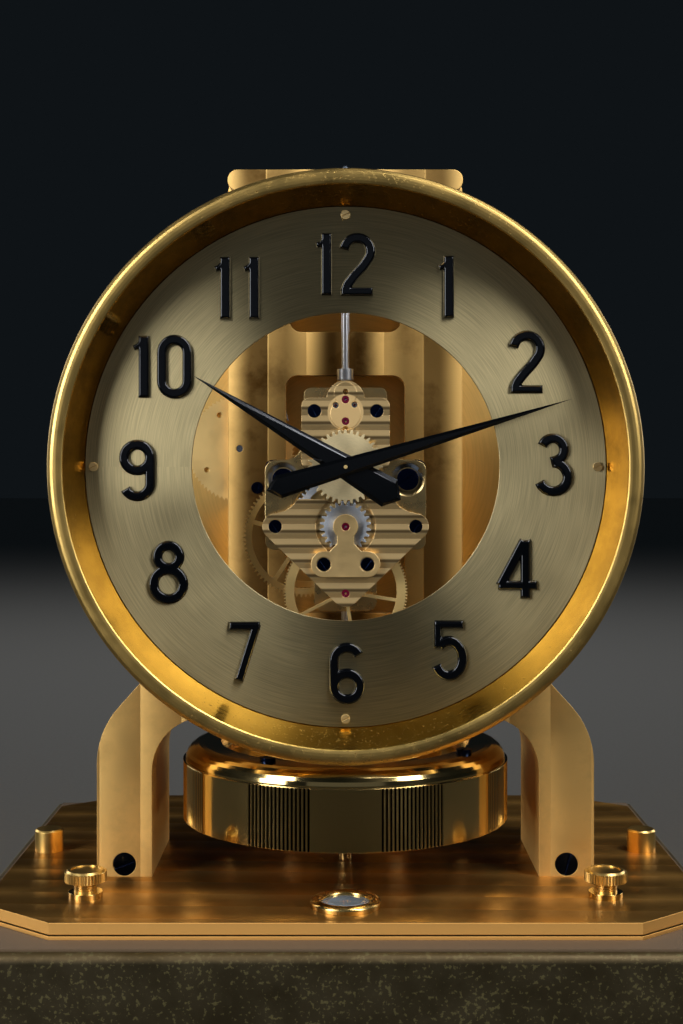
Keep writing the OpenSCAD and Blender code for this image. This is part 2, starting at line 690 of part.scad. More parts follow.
module frame() {
    side_cut = ratchet_r + 1.2;
    pin_x = -tower_w / 2 + frame_wall / 2;
    color("goldenrod") difference() {
        union() {
            difference() {
                union() {
                    plate_at(frame_y, frame_back) body_2d(0);
                    plate_at(tower_y, frame_back) tower_2d(0);
                }
                plate_at(frame_y - 1, frame_back + 1) arch_2d(0);
                plate_at(tower_y - 1, frame_back + 1) windows_2d();
                plate_at(inner_y, frame_back + 1) difference() {
                    body_2d(frame_wall);
                    arch_2d(frame_wall);
                }
                plate_at(tower_inner, frame_back + 1) tower_2d(frame_wall);
                translate([-tower_w, tower_inner, axis_z + barrel_z - side_cut])
                    cube([tower_w / 2 + frame_wall + 1, frame_depth, 2 * side_cut]);
            }
            rod_at(click_stud, tower_inner - 1, ratchet_front + 2, stud_r);
            translate([pin_x, roller_at.y, roller_at.z]) rotate([0, 90, 0])
                cylinder(h = roller_at.x + 1.4 - pin_x, r = roller_pin_r);
            translate([roller_at.x + 1.4, roller_at.y, roller_at.z]) rotate([0, 90, 0])
                cylinder(h = 0.5, r = roller_pin_r + 0.6);
        }
        rod_at(barrel_p, tower_y - 1, tower_inner + 1, winding_r + running);
        rod_at(tower_screw, tower_y - 1, tower_inner + 1, screw_shank_r + fit);
        for (x = [-leg_mid, leg_mid]) {
            rod_at([x, leg_screw_z - axis_rise], frame_y - 1, frame_y + leg_sink, leg_screw_d / 2 + 0.1);
            rod_at([x, leg_screw_z - axis_rise], frame_y, inner_y + 1, leg_shank_r + 0.2);
        }
        translate([0, pendulum_y, axis_z - arch_drop - 1]) cylinder(h = arch_drop - body_drop + 2, r = 3.4);
    }
}

// The bracket in front of the tower's top carries the suspension.
module top_bracket() {
    color("gold") difference() {
        plate_at(bracket_y, tower_y)
            rounded_rect(-tower_w / 2 + 0.6, tower_w / 2 - 0.6, tower_top - bracket_h, tower_top, bracket_h / 2 - 0.1);
        translate([0, pendulum_y, axis_z + tower_top - bracket_h - 1]) cylinder(h = bracket_h + 2, r = suspension_r);
    }
}

module screw_head(r, t, slot) {
    difference() {
        cylinder(h = t, r = r);
        translate([-r - 1, -slot / 2, t - slot]) cube([2 * r + 2, slot, t]);
    }
}
module screw_at(p, head_y, r, t, shank_r, shank_l, turn) {
    turned_at(p, head_y + t) {
        rotate(turn) screw_head(r, t, r * 0.28);
        translate([0, 0, -shank_l]) cylinder(h = shank_l, r = shank_r);
    }
}

leg_head_t = leg_sink - 0.1;
module leg_screws() {
    color("midnightblue") for (x = [-leg_mid, leg_mid])
        screw_at([x, leg_screw_z - axis_rise], frame_y + leg_sink - leg_head_t, leg_screw_d / 2, leg_head_t,
            leg_shank_r, 9, x > 0 ? 75 : 20);
}

module pillar_plate() {
    color("goldenrod") difference() {
        plate_at(pillar_y, frame_y) {
            rounded_rect(-11.5, 11.5, -2, pallet.y + 3.6, 2);
            rounded_rect(-22.2, 22.2, -motion_c - 6.8, 2, 2.4);
            rounded_rect(-8.6, 8.6, -second_c - 5.6, -motion_c, 2.6);
        }
        for (p = post_screws) rod_at(p, pillar_y - 1, frame_y + 1, post_shank_r + fit);
        for (p = [axis, third, escape]) rod_at(p, pillar_y - 1, frame_y + 1, pivot_hole_d / 2 + running);
        rod_at(idler, pillar_y + 0.5, frame_y + 1, pivot_hole_d / 2 + running);
        rod_at(pallet, pillar_y - 1, frame_y + 1, arbor_d / 2 + running);
        rod_at(second, pillar_y - 1, frame_y + 1, second_arbor_r + running);
    }
}
post_shank_r = 1.1;

// Outline shared by the main plate's lower half and the lower bridge.
module shield_2d(inset) {
    left = lobe_pillars[0];
    side = unit([second.y - left.y, left.x - second.x]);
    r = lobe_r - inset;
    both_sides() {
        disc(left, r);
        disc(second, r + 0.2);
        polygon([left, left + side * r, second + side * (r + 0.2), second]);
    }
    polygon([left, second, [-left.x, left.y]]);
}

module main_plate() {
    top = 1.7;
    sweep = [17, 7];
    sink_r = 4.7;
    color("goldenrod") difference() {
        plate_at(main_front, main_back) {
            rounded_rect(-22, 22, -motion_c, top, 2.7);
            difference() {
                translate([-sweep.x, 0]) square([2 * sweep.x, sweep.y]);
                both_sides() disc(sweep, sweep.y - top);
            }
            shield_2d(0.4);
        }
        rod_at(motion, main_front - 1, sink_floor, cannon_module * (minute_teeth / 2 + 1) + 0.4);
        rod_at(axis, main_front - 1, sink_floor, cannon_module * (cannon_teeth / 2 + 1) + 0.4);
        rod_at(axis, sink_floor - 1, main_back + 1, arbor_d / 2 + running);
        rod_at(motion, sink_floor - 1, sink_floor + 0.7, pivot_hole_d / 2 + running);
        rod_at(third, main_back - 0.6, main_back + 1, pivot_hole_d / 2 + running);
        rod_at(second, main_front - 1, main_back + 1, second_arbor_r + running);
        for (p = plate_pillars) {
            turned_at(p, main_front + plate_sink) cylinder(h = plate_sink + 0.01, r1 = plate_screw_d / 2 + 0.3, r2 = sink_r);
            rod_at(p, main_front - 1, main_back + 1, plate_shank_r + fit);
        }
    }
}
plate_sink = 0.9;
plate_shank_r = 1.6;

// Pillars between the plates, and the four posts that carry the movement on the tower.
module movement_posts() {
    color("gold") {
        for (p = plate_pillars) difference() {
            rod_at(p, main_back, pillar_y, 2.4);
            rod_at(p, main_back - 1, main_back + 2.5, plate_shank_r + fit);
        }
        for (p = lobe_pillars) rod_at(p, main_back, pillar_y, pillar_r);
        for (p = upper_pillars) difference() {
            rod_at(p, main_front, pillar_y, pillar_r);
            rod_at(p, main_front - 1, main_front + 2.5, screw_shank_r + fit);
        }
        for (p = rear_posts) difference() {
            rod_at(p, frame_y, tower_y, pillar_r);
            rod_at(p, frame_y - 1, frame_y + 3, post_shank_r + fit);
        }
    }
}
screw_shank_r = 0.8;

module upper_bridge() {
    half = upper_bridge_w / 2;
    shoulder = escape_c + 6.4;
    color("gold") difference() {
        union() {
            plate_at(upper_front, main_front) {
                rounded_rect(-half, half, -0.6, shoulder, 2.2);
                disc(pallet, 5.2);
            }
            plate_at(upper_front - 0.12, upper_front) {
                disc([0, escape_c + 2], 4.1);
                disc([0, pallet.y + 1.7], 3.1);
            }
        }
        rod_at(axis, upper_front - 1, main_front + 1, 1.2);
        for (p = [escape, pallet]) rod_at(p, upper_front - 1, main_front + 1, jewel_r + fit);
        for (p = stone_at) rod_at(p, upper_front - 1, main_front + 1, 0.85);
        for (p = [[0, pallet.y + 2.1], [0, escape_c - 2.1]]) rod_at(p, upper_front - 1, main_front - 0.4, 0.8);
        for (p = upper_pillars) {
            rod_at(p, upper_front - 1, upper_front + 1, bridge_screw_d / 2 + 0.1);
            rod_at(p, upper_front - 1, main_front + 1, screw_shank_r + 0.1);
        }
    }
}

module lower_bridge() {
    top = -motion_c + 7.4;
    color("gold") difference() {
        plate_at(lower_front, main_front) {
            shield_2d(0);
            polygon([lobe_pillars[0] - [-4, 2], lobe_pillars[1] - [4, 2], lobe_pillars[1] + [0, lobe_r],
                [16.6, -motion_c + 4.2], [14.6, -motion_c + 5.4], [13, top], [-13, top], [-14.6, -motion_c + 5.4],
                [-16.6, -motion_c + 4.2], lobe_pillars[0] + [0, lobe_r]]);
        }
        rod_at(motion, lower_front - 1, hour_back + 0.2, recess_r);
        rod_at(motion, lower_front - 1, main_front + 1, arbor_d / 2 + 0.3);
        rod_at(axis, lower_front - 1, main_front + 1, hour_module * (hour_teeth / 2 + 1) + 0.3);
        rod_at(second, lower_front - 1, main_front + 1, jewel_r + fit);
        for (p = lobe_pillars) rod_at(p, lower_front - 1, lower_front + 1, bridge_screw_d / 2 + 0.1);
        for (p = concat(lobe_pillars, cock_screws)) rod_at(p, lower_front - 1, main_front + 1, screw_shank_r + 0.1);
    }
}

module minute_cock() {
    bar_z = cock_screws[0].y;
    bar_r = 3.5;
    neck = 2.3;
    color("gold") difference() {
        plate_at(cock_front, cock_back) {
            disc(motion, 3.4);
            polygon([[-neck, -motion_c], [-neck, -motion_c - 4.6], [-5.2, bar_z + 2.6], [5.2, bar_z + 2.6],
                [neck, -motion_c - 4.6], [neck, -motion_c]]);
            bar(cock_screws[0], cock_screws[1], 2 * bar_r);
            for (p = cock_screws) disc(p, bar_r);
        }
        plate_at(cock_back - 0.25, cock_back + 1) disc(motion, recess_r);
        rod_at(motion, cock_front - 1, cock_back + 1, jewel_r + fit);
        for (p = cock_screws) {
            rod_at(p, cock_front - 1, cock_back - 0.5, bridge_screw_d / 2 + 0.2);
            rod_at(p, cock_front - 1, cock_back + 1, screw_shank_r + 0.1);
        }
    }
}

// All screws of the movement: two in each bridge and in the cock, two large ones in the main
// plate, and those of the posts, the tower and the winding bridge.
module movement_screws() {
    r = bridge_screw_d / 2;
    head = 0.9;
    color("midnightblue") {
        for (p = upper_pillars) screw_at(p, upper_front + 1 - head, r, head, screw_shank_r, 2.8, p.x * 7);
        for (p = lobe_pillars) screw_at(p, lower_front + 1 - head, r, head, screw_shank_r, 1.4, p.x * 3);
        for (p = cock_screws) screw_at(p, cock_back - 0.5 - head, r, head, screw_shank_r, 2, p.x * 9);
        for (p = plate_pillars)
            screw_at(p, main_front + plate_sink - 1.4, plate_screw_d / 2, 1.4, plate_shank_r, 2.8, p.x * 2);
        for (p = post_screws) screw_at(p, pillar_y - head, r - 0.1, head, post_shank_r, pillar_plate_t + 2.6, 40);
        screw_at(tower_screw, tower_y - head, r, head, screw_shank_r, front_t - 0.5, 70);
        for (p = winding_pillars) translate([p.x, winding_bridge_y + winding_bridge_t, axis_z + p.y])
            rotate([-90, 0, 0]) rotate(p.x * 4) screw_head(r, head, r * 0.28);
    }
}

module jewel(p, front) {
    difference() {
        rod_at(p, front, front + 0.9, jewel_r);
        rod_at(p, front - 1, front + 2, pivot_hole_d / 2 + running);
        turned_at(p, front) rotate_extrude() polygon([[0, 0.1], [0.55, 0.1], [pivot_hole_d / 2, -0.3], [0, -0.3]]);
    }
}
module jewels() {
    color("crimson") {
        for (p = [escape, pallet]) jewel(p, upper_front - 0.1);
        jewel(second, lower_front);
        jewel(motion, cock_front);
    }
}

module arbor(p, front, back) {
    pivot_l = 0.6;
    rod_at(p, front + pivot_l, pillar_y - running, arbor_d / 2);
    rod_at(p, front, back, pivot_hole_d / 2);
}
module wheel_at(p, front, t = wheel_t) {
    translate([p.x, 0, p.y]) plate_at(front, front + t) children();
}

module centre_arbor() {
    color("gold") {
        rod_at(axis, minute_hand_back - hand_t - 0.5, pillar_y - 0.3, pipe_r - 0.35);
        rod_at(axis, main_back - 0.4, pillar_y - 0.3, arbor_d / 2);
        rod_at(axis, pillar_y - 0.4, frame_y - 0.4, pivot_hole_d / 2);
        wheel_at(axis, layer_c - wheel_t)
            spoked_gear_2d(centre_teeth, escape_module, centre_phase, 1.2, 1.8, 5, 0.8, 18);
        wheel_at(axis, layer_b - wheel_t - 0.15, wheel_t + 0.3)
            gear_2d(centre_pinion_teeth, third_module, centre_pinion_phase);
    }
}
pipe_r = 0.85;

module cannon_pinion() {
    color("silver") difference() {
        union() {
            rod_at(axis, minute_hand_back - hand_t - 0.1, minute_back, pipe_r);
            wheel_at(axis, minute_back - 0.55, 0.55) gear_2d(cannon_teeth, cannon_module, cannon_phase);
        }
        rod_at(axis, minute_hand_back - 5, minute_back + 1, pipe_r - 0.35 + fit);
    }
}

module minute_wheel() {
    pinion_front = hour_back - hour_t;
    color("silver") {
        rod_at(motion, pinion_front - 0.1, minute_back + 0.1, arbor_d / 2);
        rod_at(motion, cock_front + 0.3, sink_floor + 0.4, pivot_hole_d / 2);
        wheel_at(motion, minute_back - 0.5, 0.5)
            spoked_gear_2d(minute_teeth, cannon_module, minute_phase, 1.6, 2.2, 5, 1, 0);
        wheel_at(motion, pinion_front, hour_t) gear_2d(minute_pinion_teeth, hour_module, minute_pinion_phase);
    }
}

module hour_wheel() {
    color("gold") difference() {
        union() {
            wheel_at(axis, hour_back - hour_t, hour_t) gear_2d(hour_teeth, hour_module, hour_phase);
            rod_at(axis, hour_hand_back - hand_t, hour_back, pipe_r + 0.55);
        }
        rod_at(axis, hour_hand_back - 5, hour_back + 1, pipe_r + running);
    }
}

module third_wheel() {
    color("gold") {
        arbor(third, main_back - 0.4, frame_y - 0.4);
        wheel_at(third, layer_b - wheel_t)
            spoked_gear_2d(third_teeth, third_module, third_phase, 1.4, 2.2, 5, 0.9, 10);
        wheel_at(third, layer_a - wheel_t - 0.1, wheel_t + 0.2)
            gear_2d(third_pinion_teeth, second_module, third_pinion_phase);
    }
}

module second_wheel() {
    color("gold") {
        rod_at(second, lower_front + 1, train_bridge_y - 0.2, second_arbor_r);
        rod_at(second, lower_front + 0.3, train_bridge_y + train_bridge_t - 0.3, pivot_hole_d / 2);
        wheel_at(second, layer_a - wheel_t)
            spoked_gear_2d(second_teeth, second_module, second_phase, 2.4, 2.6, 5, 0.9, 351);
        wheel_at(second, lead_front - 0.2, lead_t + 0.4)
            gear_2d(second_pinion_teeth, lead_module, second_pinion_phase);
    }
}

module escape_2d() {
    teeth = 15;
    lead = 9;
    rotate(90 + 6) polygon([for (i = [0:teeth - 1], k = [0:3])
        let(a = 360 * i / teeth, r = [escape_tip, escape_tip, escape_tip - 1.7, escape_tip - 1.7][k])
        polar(r, a + [0, 1.5, lead, 21][k])]);
}
module escape_wheel() {
    color("gold") {
        arbor(escape, upper_front + 0.3, frame_y - 0.4);
        wheel_at(escape, layer_a - wheel_t) difference() {
            escape_2d();
            difference() {
                circle(2.2);
                circle(1.2);
                spokes_2d(4, 0.5, 2.6, 0.5, 45);
            }
        }
        wheel_at(escape, layer_c - wheel_t - 0.15, wheel_t + 0.3)
            gear_2d(escape_pinion_teeth, escape_module, escape_pinion_phase);
    }
}

// The lever's arms lie in front of the wheel, its stones reach back into the wheel's plane,
// and its fork hangs behind, just in front of the staff's impulse pin.
fork_t = 0.8;
fork_y = pendulum_y - 5.3;
impulse_p = [0, escape_c + 0.4];
arm_t = 0.6;
arm_front = layer_a - wheel_t - gap - arm_t;
stone = [0.62, 0.6];
module stone_2d(grow) {
    for (p = stone_at) translate(p) rotate(heading(escape, p)) square(stone + [2 * grow, 2 * grow], center = true);
}
module pallet_lever() {
    color("silver") {
        difference() {
            union() {
                rod_at(pallet, upper_front + 0.9, fork_y + fork_t, arbor_d / 2 - running);
                rod_at(pallet, upper_front + 0.3, upper_front + 1, pivot_hole_d / 2);
                plate_at(arm_front, arm_front + arm_t) {
                    disc(pallet, 1.3);
                    for (p = stone_at) {
                        bar(pallet, p, 1.1);
                        disc(p, 0.8);
                    }
                }
            }
            plate_at(arm_front - 1, arm_front + arm_t + 1) stone_2d(fit);
        }
        plate_at(fork_y, fork_y + fork_t) difference() {
            union() {
                disc(pallet, 1.4);
                bar(pallet, impulse_p, 1.2);
                translate(impulse_p) translate([-1.3, -0.6]) square([2.6, 1.4]);
            }
            translate(impulse_p) translate([-0.45, -1.6]) square([0.9, 1.9]);
        }
    }
}
module pallet_stones() {
    color("crimson") plate_at(arm_front - 0.1, layer_a) stone_2d(0);
}

// Two wheels on one long arbor: the front one drives the movement, the rear one is driven
// by the barrel.
module idler_wheel() {
    color("gold") {
        rod_at(idler, frame_y + 0.2, winding_bridge_y - 0.2, second_arbor_r);
        rod_at(idler, frame_y - 0.9, winding_bridge_y + winding_bridge_t - 0.3, pivot_hole_d / 2);
        wheel_at(idler, lead_front, lead_t)
            spoked_gear_2d(lead_teeth, lead_module, lead_phase, 1.6, 2.6, 5, 1.2, 20);
        wheel_at(idler, great_front, great_t)
            spoked_gear_2d(idler_teeth, winding_module, idler_phase, 1.8, 2.6, 5, 1.4, 0);
    }
}

// Bridge on the pillar plate's back, which bears the second wheel, the idler and the pallets.
module train_bridge() {
    color("goldenrod") difference() {
        union() {
            plate_at(train_bridge_y, train_bridge_y + train_bridge_t) {
                bar(pallet, second, 5.6);
                bar([0, idler.y + 5], idler, 4.6);
                bar(train_pillars[1], train_pillars[2], 5);
                disc(pallet, 2.8);
                disc(second, 3.4);
                disc(idler, 2.8);
                for (p = train_pillars) disc(p, 2.5);
            }
            for (p = train_pillars) rod_at(p, frame_y, train_bridge_y + 0.5, 1.4);
        }
        rod_at(pallet, frame_y, train_bridge_y + 5, arbor_d / 2);
        rod_at(idler, train_bridge_y - 1, train_bridge_y + 5, second_arbor_r + running);
        rod_at(second, train_bridge_y - 1, train_bridge_y + 5, pivot_hole_d / 2 + running);
    }
}

// Bridge behind the tower, which bears the barrel's arbor and the idler.
module winding_bridge() {
    color("goldenrod") difference() {
        union() {
            plate_at(winding_bridge_y, winding_bridge_y + winding_bridge_t) {
                bar(winding_pillars[0], barrel_p, 5);
                bar(barrel_p, idler, 5.6);
                bar(idler, winding_pillars[1], 5);
                bar(idler, winding_pillars[2], 5);
                disc(barrel_p, 4);
                disc(idler, 3.4);
                for (p = winding_pillars) disc(p, 3);
            }
            for (p = winding_pillars) rod_at(p, tower_inner, winding_bridge_y + 0.5, pillar_r);
        }
        rod_at(barrel_p, winding_bridge_y - 1, winding_bridge_y + 5, winding_r + running);
        rod_at(idler, winding_bridge_y - 1, winding_bridge_y + 5, pivot_hole_d / 2 + running);
    }
}

barrel_r = 12.8;
barrel_wall = 0.8;
// Toothed drum closed by its cover; the spring inside drives it from the arbor.
module barrel() {
    color("gold") difference() {
        union() {
            wheel_at(barrel_p, great_front, great_t) gear_2d(great_teeth, winding_module, great_phase);
            rod_at(barrel_p, great_front + great_t / 2, drum_back_y, barrel_r);
        }
        rod_at(barrel_p, great_front + great_t, drum_back_y - 0.7, barrel_r - barrel_wall);
        rod_at(barrel_p, great_front - 1, drum_back_y + 1, winding_r + running);
    }
}

// The spring lies coiled in the barrel as one flat spiral strip.
spring_turns = 7;
module mainspring() {
    r_in = winding_r + 1.4;
    r_out = barrel_r - barrel_wall - 0.3;
    strip = 0.5;
    steps = spring_turns * 18;
    color("slategray") wheel_at(barrel_p, great_front + great_t + 0.2, barrel_depth - 0.7 - 0.4)
        polygon(concat([for (i = [0:steps]) polar(r_in + (r_out - r_in) * i / steps, i * 20)],
            [for (i = [steps:-1:0]) polar(r_in + (r_out - r_in) * i / steps - strip, i * 20)]));
}

module winding_arbor() {
    color("silver") {
        rod_at(barrel_p, tower_y + 0.6, winding_bridge_y + winding_bridge_t + 0.6, winding_r);
        rod_at(barrel_p, pulley_front, pulley_front + pulley_w, pulley_r - chain_r - 0.1);
        for (y = [pulley_front, pulley_front + pulley_w - 0.6]) rod_at(barrel_p, y, y + 0.6, pulley_r + 1);
    }
}

ratchet_depth = 0.9;
click_tip_angle = 30;
click_tip = barrel_p + polar(ratchet_r + 0.2, click_tip_angle);
module ratchet_2d() {
    p = 360 / ratchet_teeth;
    polygon([for (i = [0:ratchet_teeth - 1], k = [0, 1])
        polar(ratchet_r - k * ratchet_depth, click_tip_angle - p * 0.5 + i * p + (k == 0 ? 0 : p * 0.15))]);
}
module ratchet_wheel() {
    color("goldenrod") difference() {
        wheel_at(barrel_p, ratchet_front, ratchet_t) difference() {
            ratchet_2d();
            for (a = [122:90:392]) disc(polar(11.8, a), 0.8);
        }
        rod_at(barrel_p, ratchet_front - 1, ratchet_front + 2, winding_r + fit);
    }
}

module click() {
    color("silver") difference() {
        union() {
            wheel_at(axis, ratchet_front, ratchet_t) {
                disc(click_stud, 1.5);
                polygon([click_stud + [1.2, 0], click_tip + [0.25, 0.3], click_tip, click_stud + [-0.9, -1]]);
            }
            rod_at(click_stud, ratchet_front, ratchet_front + 1.6, 1.5);
        }
        rod_at(click_stud, ratchet_front - 1, ratchet_front + 3, stud_r + running);
    }
}

module guide_roller() {
    color("gold") translate(roller_at) rotate([0, 90, 0]) difference() {
        union() {
            translate([0, 0, -1]) cylinder(h = 2, r = roller_r - chain_r - 0.05);
            for (z = [-1.3, 0.9]) translate([0, 0, z]) cylinder(h = 0.4, r = roller_r + 0.7);
        }
        translate([0, 0, -3]) cylinder(h = 6, r = roller_pin_r + running);
    }
}

// The chain climbs from its pulley, turns over the guide roller and runs back to the bellows.
plate_front_y = frame_back + drum_t + 13;
plate_back_y = plate_front_y + 2;
module winding_chain() {
    start = [barrel_x, chain_y, axis_z + barrel_z];
    path = concat(
        [for (a = [-150:25:-25]) start + pulley_r * [cos(a), 0, sin(a)]],
        [for (k = [0:5]) [roller_at.x, chain_y, start.z + (roller_z - barrel_z) * k / 5]],
        [for (a = [157.5:-22.5:90]) roller_at + roller_r * [0, cos(a), sin(a)]],
        [for (k = [1:6]) roller_at + [0, (plate_front_y - 0.1 - roller_at.y) * k / 6, roller_r]]);
    color("silver") tube(path, chain_r, 8, [1, 1, 0]);
}

drum_back = frame_back + drum_depth;
drum_p = [0, drum_rise];
chain_hole = [barrel_x + pulley_r, roller_z + roller_r];
module bellows_drum() {
    color("gold") difference() {
        rod_at(drum_p, frame_back, drum_back, drum_d / 2);
        rod_at(drum_p, frame_back + drum_t, drum_back + 1, drum_d / 2 - drum_t);
        rod_at(chain_hole, frame_back - 1, frame_back + drum_t + 1, 1.6);
    }
}

module drum_cover() {
    color("gold") difference() {
        union() {
            rod_at(drum_p, drum_back, drum_back + 1.5, drum_d / 2);
            rod_at(drum_p, drum_back - 2.5, drum_back + 0.5, drum_d / 2 - drum_t - running);
            rod_at(drum_p, drum_back + 1.4, drum_back + 3, drum_d / 4);
        }
        rod_at(drum_p, drum_back - 3, drum_back - 0.5, drum_d / 2 - drum_t - 3);
        rod_at(drum_p, drum_back + 2.2, drum_back + 4, drum_d / 4 - 2);
        for (a = [0:60:300]) rod_at(drum_p + polar(drum_d / 2 - 7, a), drum_back + 0.9, drum_back + 2, 2.5);
    }
}

// Sealed capsule of folded sheet; it shortens as the air cools.
module bellows_capsule() {
    r_out = bellows_d / 2;
    r_in = r_out - 9;
    front = plate_back_y + gap;
    back = drum_back - gap - 0.2;
    step = (back - front) / bellows_folds;
    sheet = 1;
    zigzag = [for (i = [0:bellows_folds - 1], k = [0, 1]) [k == 0 ? r_in : r_out, (i + k / 2) * step]];
    color("darkgoldenrod") turned_at(drum_p, back) rotate_extrude()
        polygon(concat([[0, 0]], zigzag, [[r_in, back - front], [0, back - front], [0, back - front - sheet],
            [r_in - sheet, back - front - sheet]],
            [for (i = [2 * bellows_folds - 1:-1:1]) zigzag[i] - [2 * sheet, 0]], [[r_in - 2 * sheet, sheet], [0, sheet]]));
}

module bellows_spring() {
    wire_r = 1.1;
    coil_r = 20;
    front = frame_back + drum_t + wire_r + 0.1;
    back = plate_front_y - wire_r - 0.1;
    turns = 3;
    steps = turns * 16;
    color("slategray") translate([0, 0, axis_z + drum_rise])
        tube([for (i = [0:steps]) [coil_r * cos(i * 22.5), front + (back - front) * i / steps, coil_r * sin(i * 22.5)]],
            wire_r, 6, [0, 1, 0]);
}

module pressure_plate() {
    color("gold") {
        rod_at(drum_p, plate_front_y, plate_back_y, 30);
        plate_at(plate_front_y, plate_back_y) bar(drum_p, chain_hole, 6);
        rod_at(chain_hole, plate_front_y, plate_back_y, 3);
    }
}

// Turned ring: a rounded rim, a slightly hollow cone inside it, and a flange that carries the dial.
module bezel() {
    r_dial = dial_d / 2 + 0.2;
    dial_back = dial_y + dial_t;
    front = bezel_y + 0.5;
    outer = bezel_d / 2;
    cone_w = crest_r - 1.8 - r_dial;
    cone_n = 6;
    cone = [for (i = [0:cone_n]) let(t = i / cone_n)
        [r_dial + cone_w * (1 - t) + 0.3 * sin(180 * t), front + (dial_y - front) * t]];
    shell_w = crest_r - 0.4 - r_dial + bezel_t;
    shell = [for (a = [90:-12:18])
        [r_dial + shell_w * cos(a), front + (dial_back + bezel_t - front) * sin(a)]];
    lip = [[r_dial, dial_back], [r_dial - flange_w, dial_back], [r_dial - flange_w, dial_back + bezel_t]];
    bead = [[outer - 0.3, front + 2.4], [outer, front + 1.4], [outer - 0.3, front + 0.5],
        [crest_r + 1.5, bezel_y + 0.3], [crest_r + 0.8, bezel_y + 0.08], [crest_r, bezel_y],
        [crest_r - 0.8, bezel_y + 0.05], [crest_r - 1.5, bezel_y + 0.25]];
    color("darkgoldenrod") difference() {
        union() {
            turned_at(axis) rotate_extrude($fn = 128)
                polygon([for (q = concat(cone, lip, shell, bead)) [q[0], -q[1]]]);
            for (p = dial_posts) rod_at(p, dial_back + bezel_t / 2, p.y > 0 ? tower_y : frame_y, 2);
        }
        for (a = [0:90:270]) rod_at(polar(dial_screw_r, a), dial_back - 1, dial_back + bezel_t + 1, dial_shank_r + fit);
    }
}

module dial() {
    color("palegoldenrod") difference() {
        plate_at(dial_y, dial_y + dial_t) difference() {
            circle(dial_d / 2, $fn = 128);
            circle(dial_hole_d / 2, $fn = 128);
        }
        for (a = [0:90:270]) rod_at(polar(dial_screw_r, a), dial_y - 1, dial_y + dial_t + 1, dial_shank_r + 0.1);
    }
}
dial_screw_r = dial_d / 2 - 2.2;
dial_shank_r = 0.6;
module dial_screws() {
    color("gold") for (a = [0:90:270])
        screw_at(polar(dial_screw_r, a), dial_y - 0.5, dial_screw_d / 2, 0.5, dial_shank_r, dial_t + 0.8, a * 2 + 25);
}

// Digits are drawn round their own middle, from bars and parts of rings.
module ring_part(c, r, from, to) {
    step = (to - from) / 5;
    translate(c) intersection() {
        difference() {
            circle(r + stroke / 2);
            circle(r - stroke / 2);
        }
        polygon(concat([[0, 0]], [for (k = [0:5]) polar(3 * r, from + k * step)]));
    }
}
digit_h = numeral_h / 2 - stroke / 2;
bowl_r = digit_h * 0.52;
head_r = digit_h - bowl_r * 1.04;
module digit(n) {
    h = digit_h;
    low = [0, -h + bowl_r];
    high = [0, h - head_r];
    if (n == 0) {
        ring_part([0, h - head_r], head_r, 0, 180);
        ring_part([0, -h + head_r], head_r, 180, 360);
        for (x = [-head_r, head_r]) bar([x, -h + head_r], [x, h - head_r], stroke);
    }
    if (n == 1) {
        bar([0.6, -h - stroke / 2], [0.6, h + stroke / 2], stroke);
        polygon([[0.6, h + stroke / 2], [-0.9, h + stroke / 2], [-1.9, h - 1.1], [-1.9, h - 2.6], [0.6, h - 2.2]]);
    }
    if (n == 2) {
        ring_part(high, head_r, -25, 165);
        bar(high + polar(head_r, -25) + [0.3, 0.3], [-bowl_r + 0.2, -h], stroke);
        bar([-bowl_r - 0.9, -h], [bowl_r + 0.9, -h], stroke);
    }
    if (n == 3) {
        ring_part(high, head_r, -90, 155);
        ring_part(low, bowl_r, -155, 90);
    }
    if (n == 4) {
        bar([2, -h - stroke / 2], [2, h + stroke / 2], stroke);
        bar([-4.6, -h * 0.5], [4.6, -h * 0.5], stroke);
        bar([-4.1, -h * 0.5], [1.6, h + 0.6], stroke * 0.9);
    }
    if (n == 5) {
        bar([-bowl_r + 0.4, h], [bowl_r, h], stroke);
        bar([-bowl_r + 0.8, h + 0.4], [-bowl_r + 0.8, -0.4], stroke * 0.9);
        ring_part(low + [0, 0.2], bowl_r + 0.1, -155, 120);
    }
    if (n == 6) {
        ring_part(low, bowl_r, 0, 360);
        bar(low + [-bowl_r, 0], [-bowl_r, h - bowl_r], stroke);
        ring_part([0, h - bowl_r], bowl_r, 30, 180);
    }
    if (n == 7) {
        bar([-bowl_r - 0.6, h], [bowl_r + 0.8, h], stroke);
        bar([bowl_r - 0.2, h + 0.6], [-1.6, -h - stroke / 2], stroke);
    }
    if (n == 8) {
        ring_part(high, head_r, 0, 360);
        ring_part(low, bowl_r, 0, 360);
    }
    if (n == 9) rotate(180) digit(6);
}
digit_step = 9.4;
module numeral_2d(n) {
    if (n < 10) digit(n);
    if (n >= 10) {
        translate([-digit_step / 2 + 0.4, 0]) digit(1);
        translate([digit_step / 2 - (n == 11 ? 2.4 : 0), 0]) digit(n - 10);
    }
}
module numerals() {
    color("black") plate_at(dial_y - numeral_t, dial_y) for (n = [1:12])
        translate(polar(numeral_r, 90 - 30 * n)) numeral_2d(n);
}

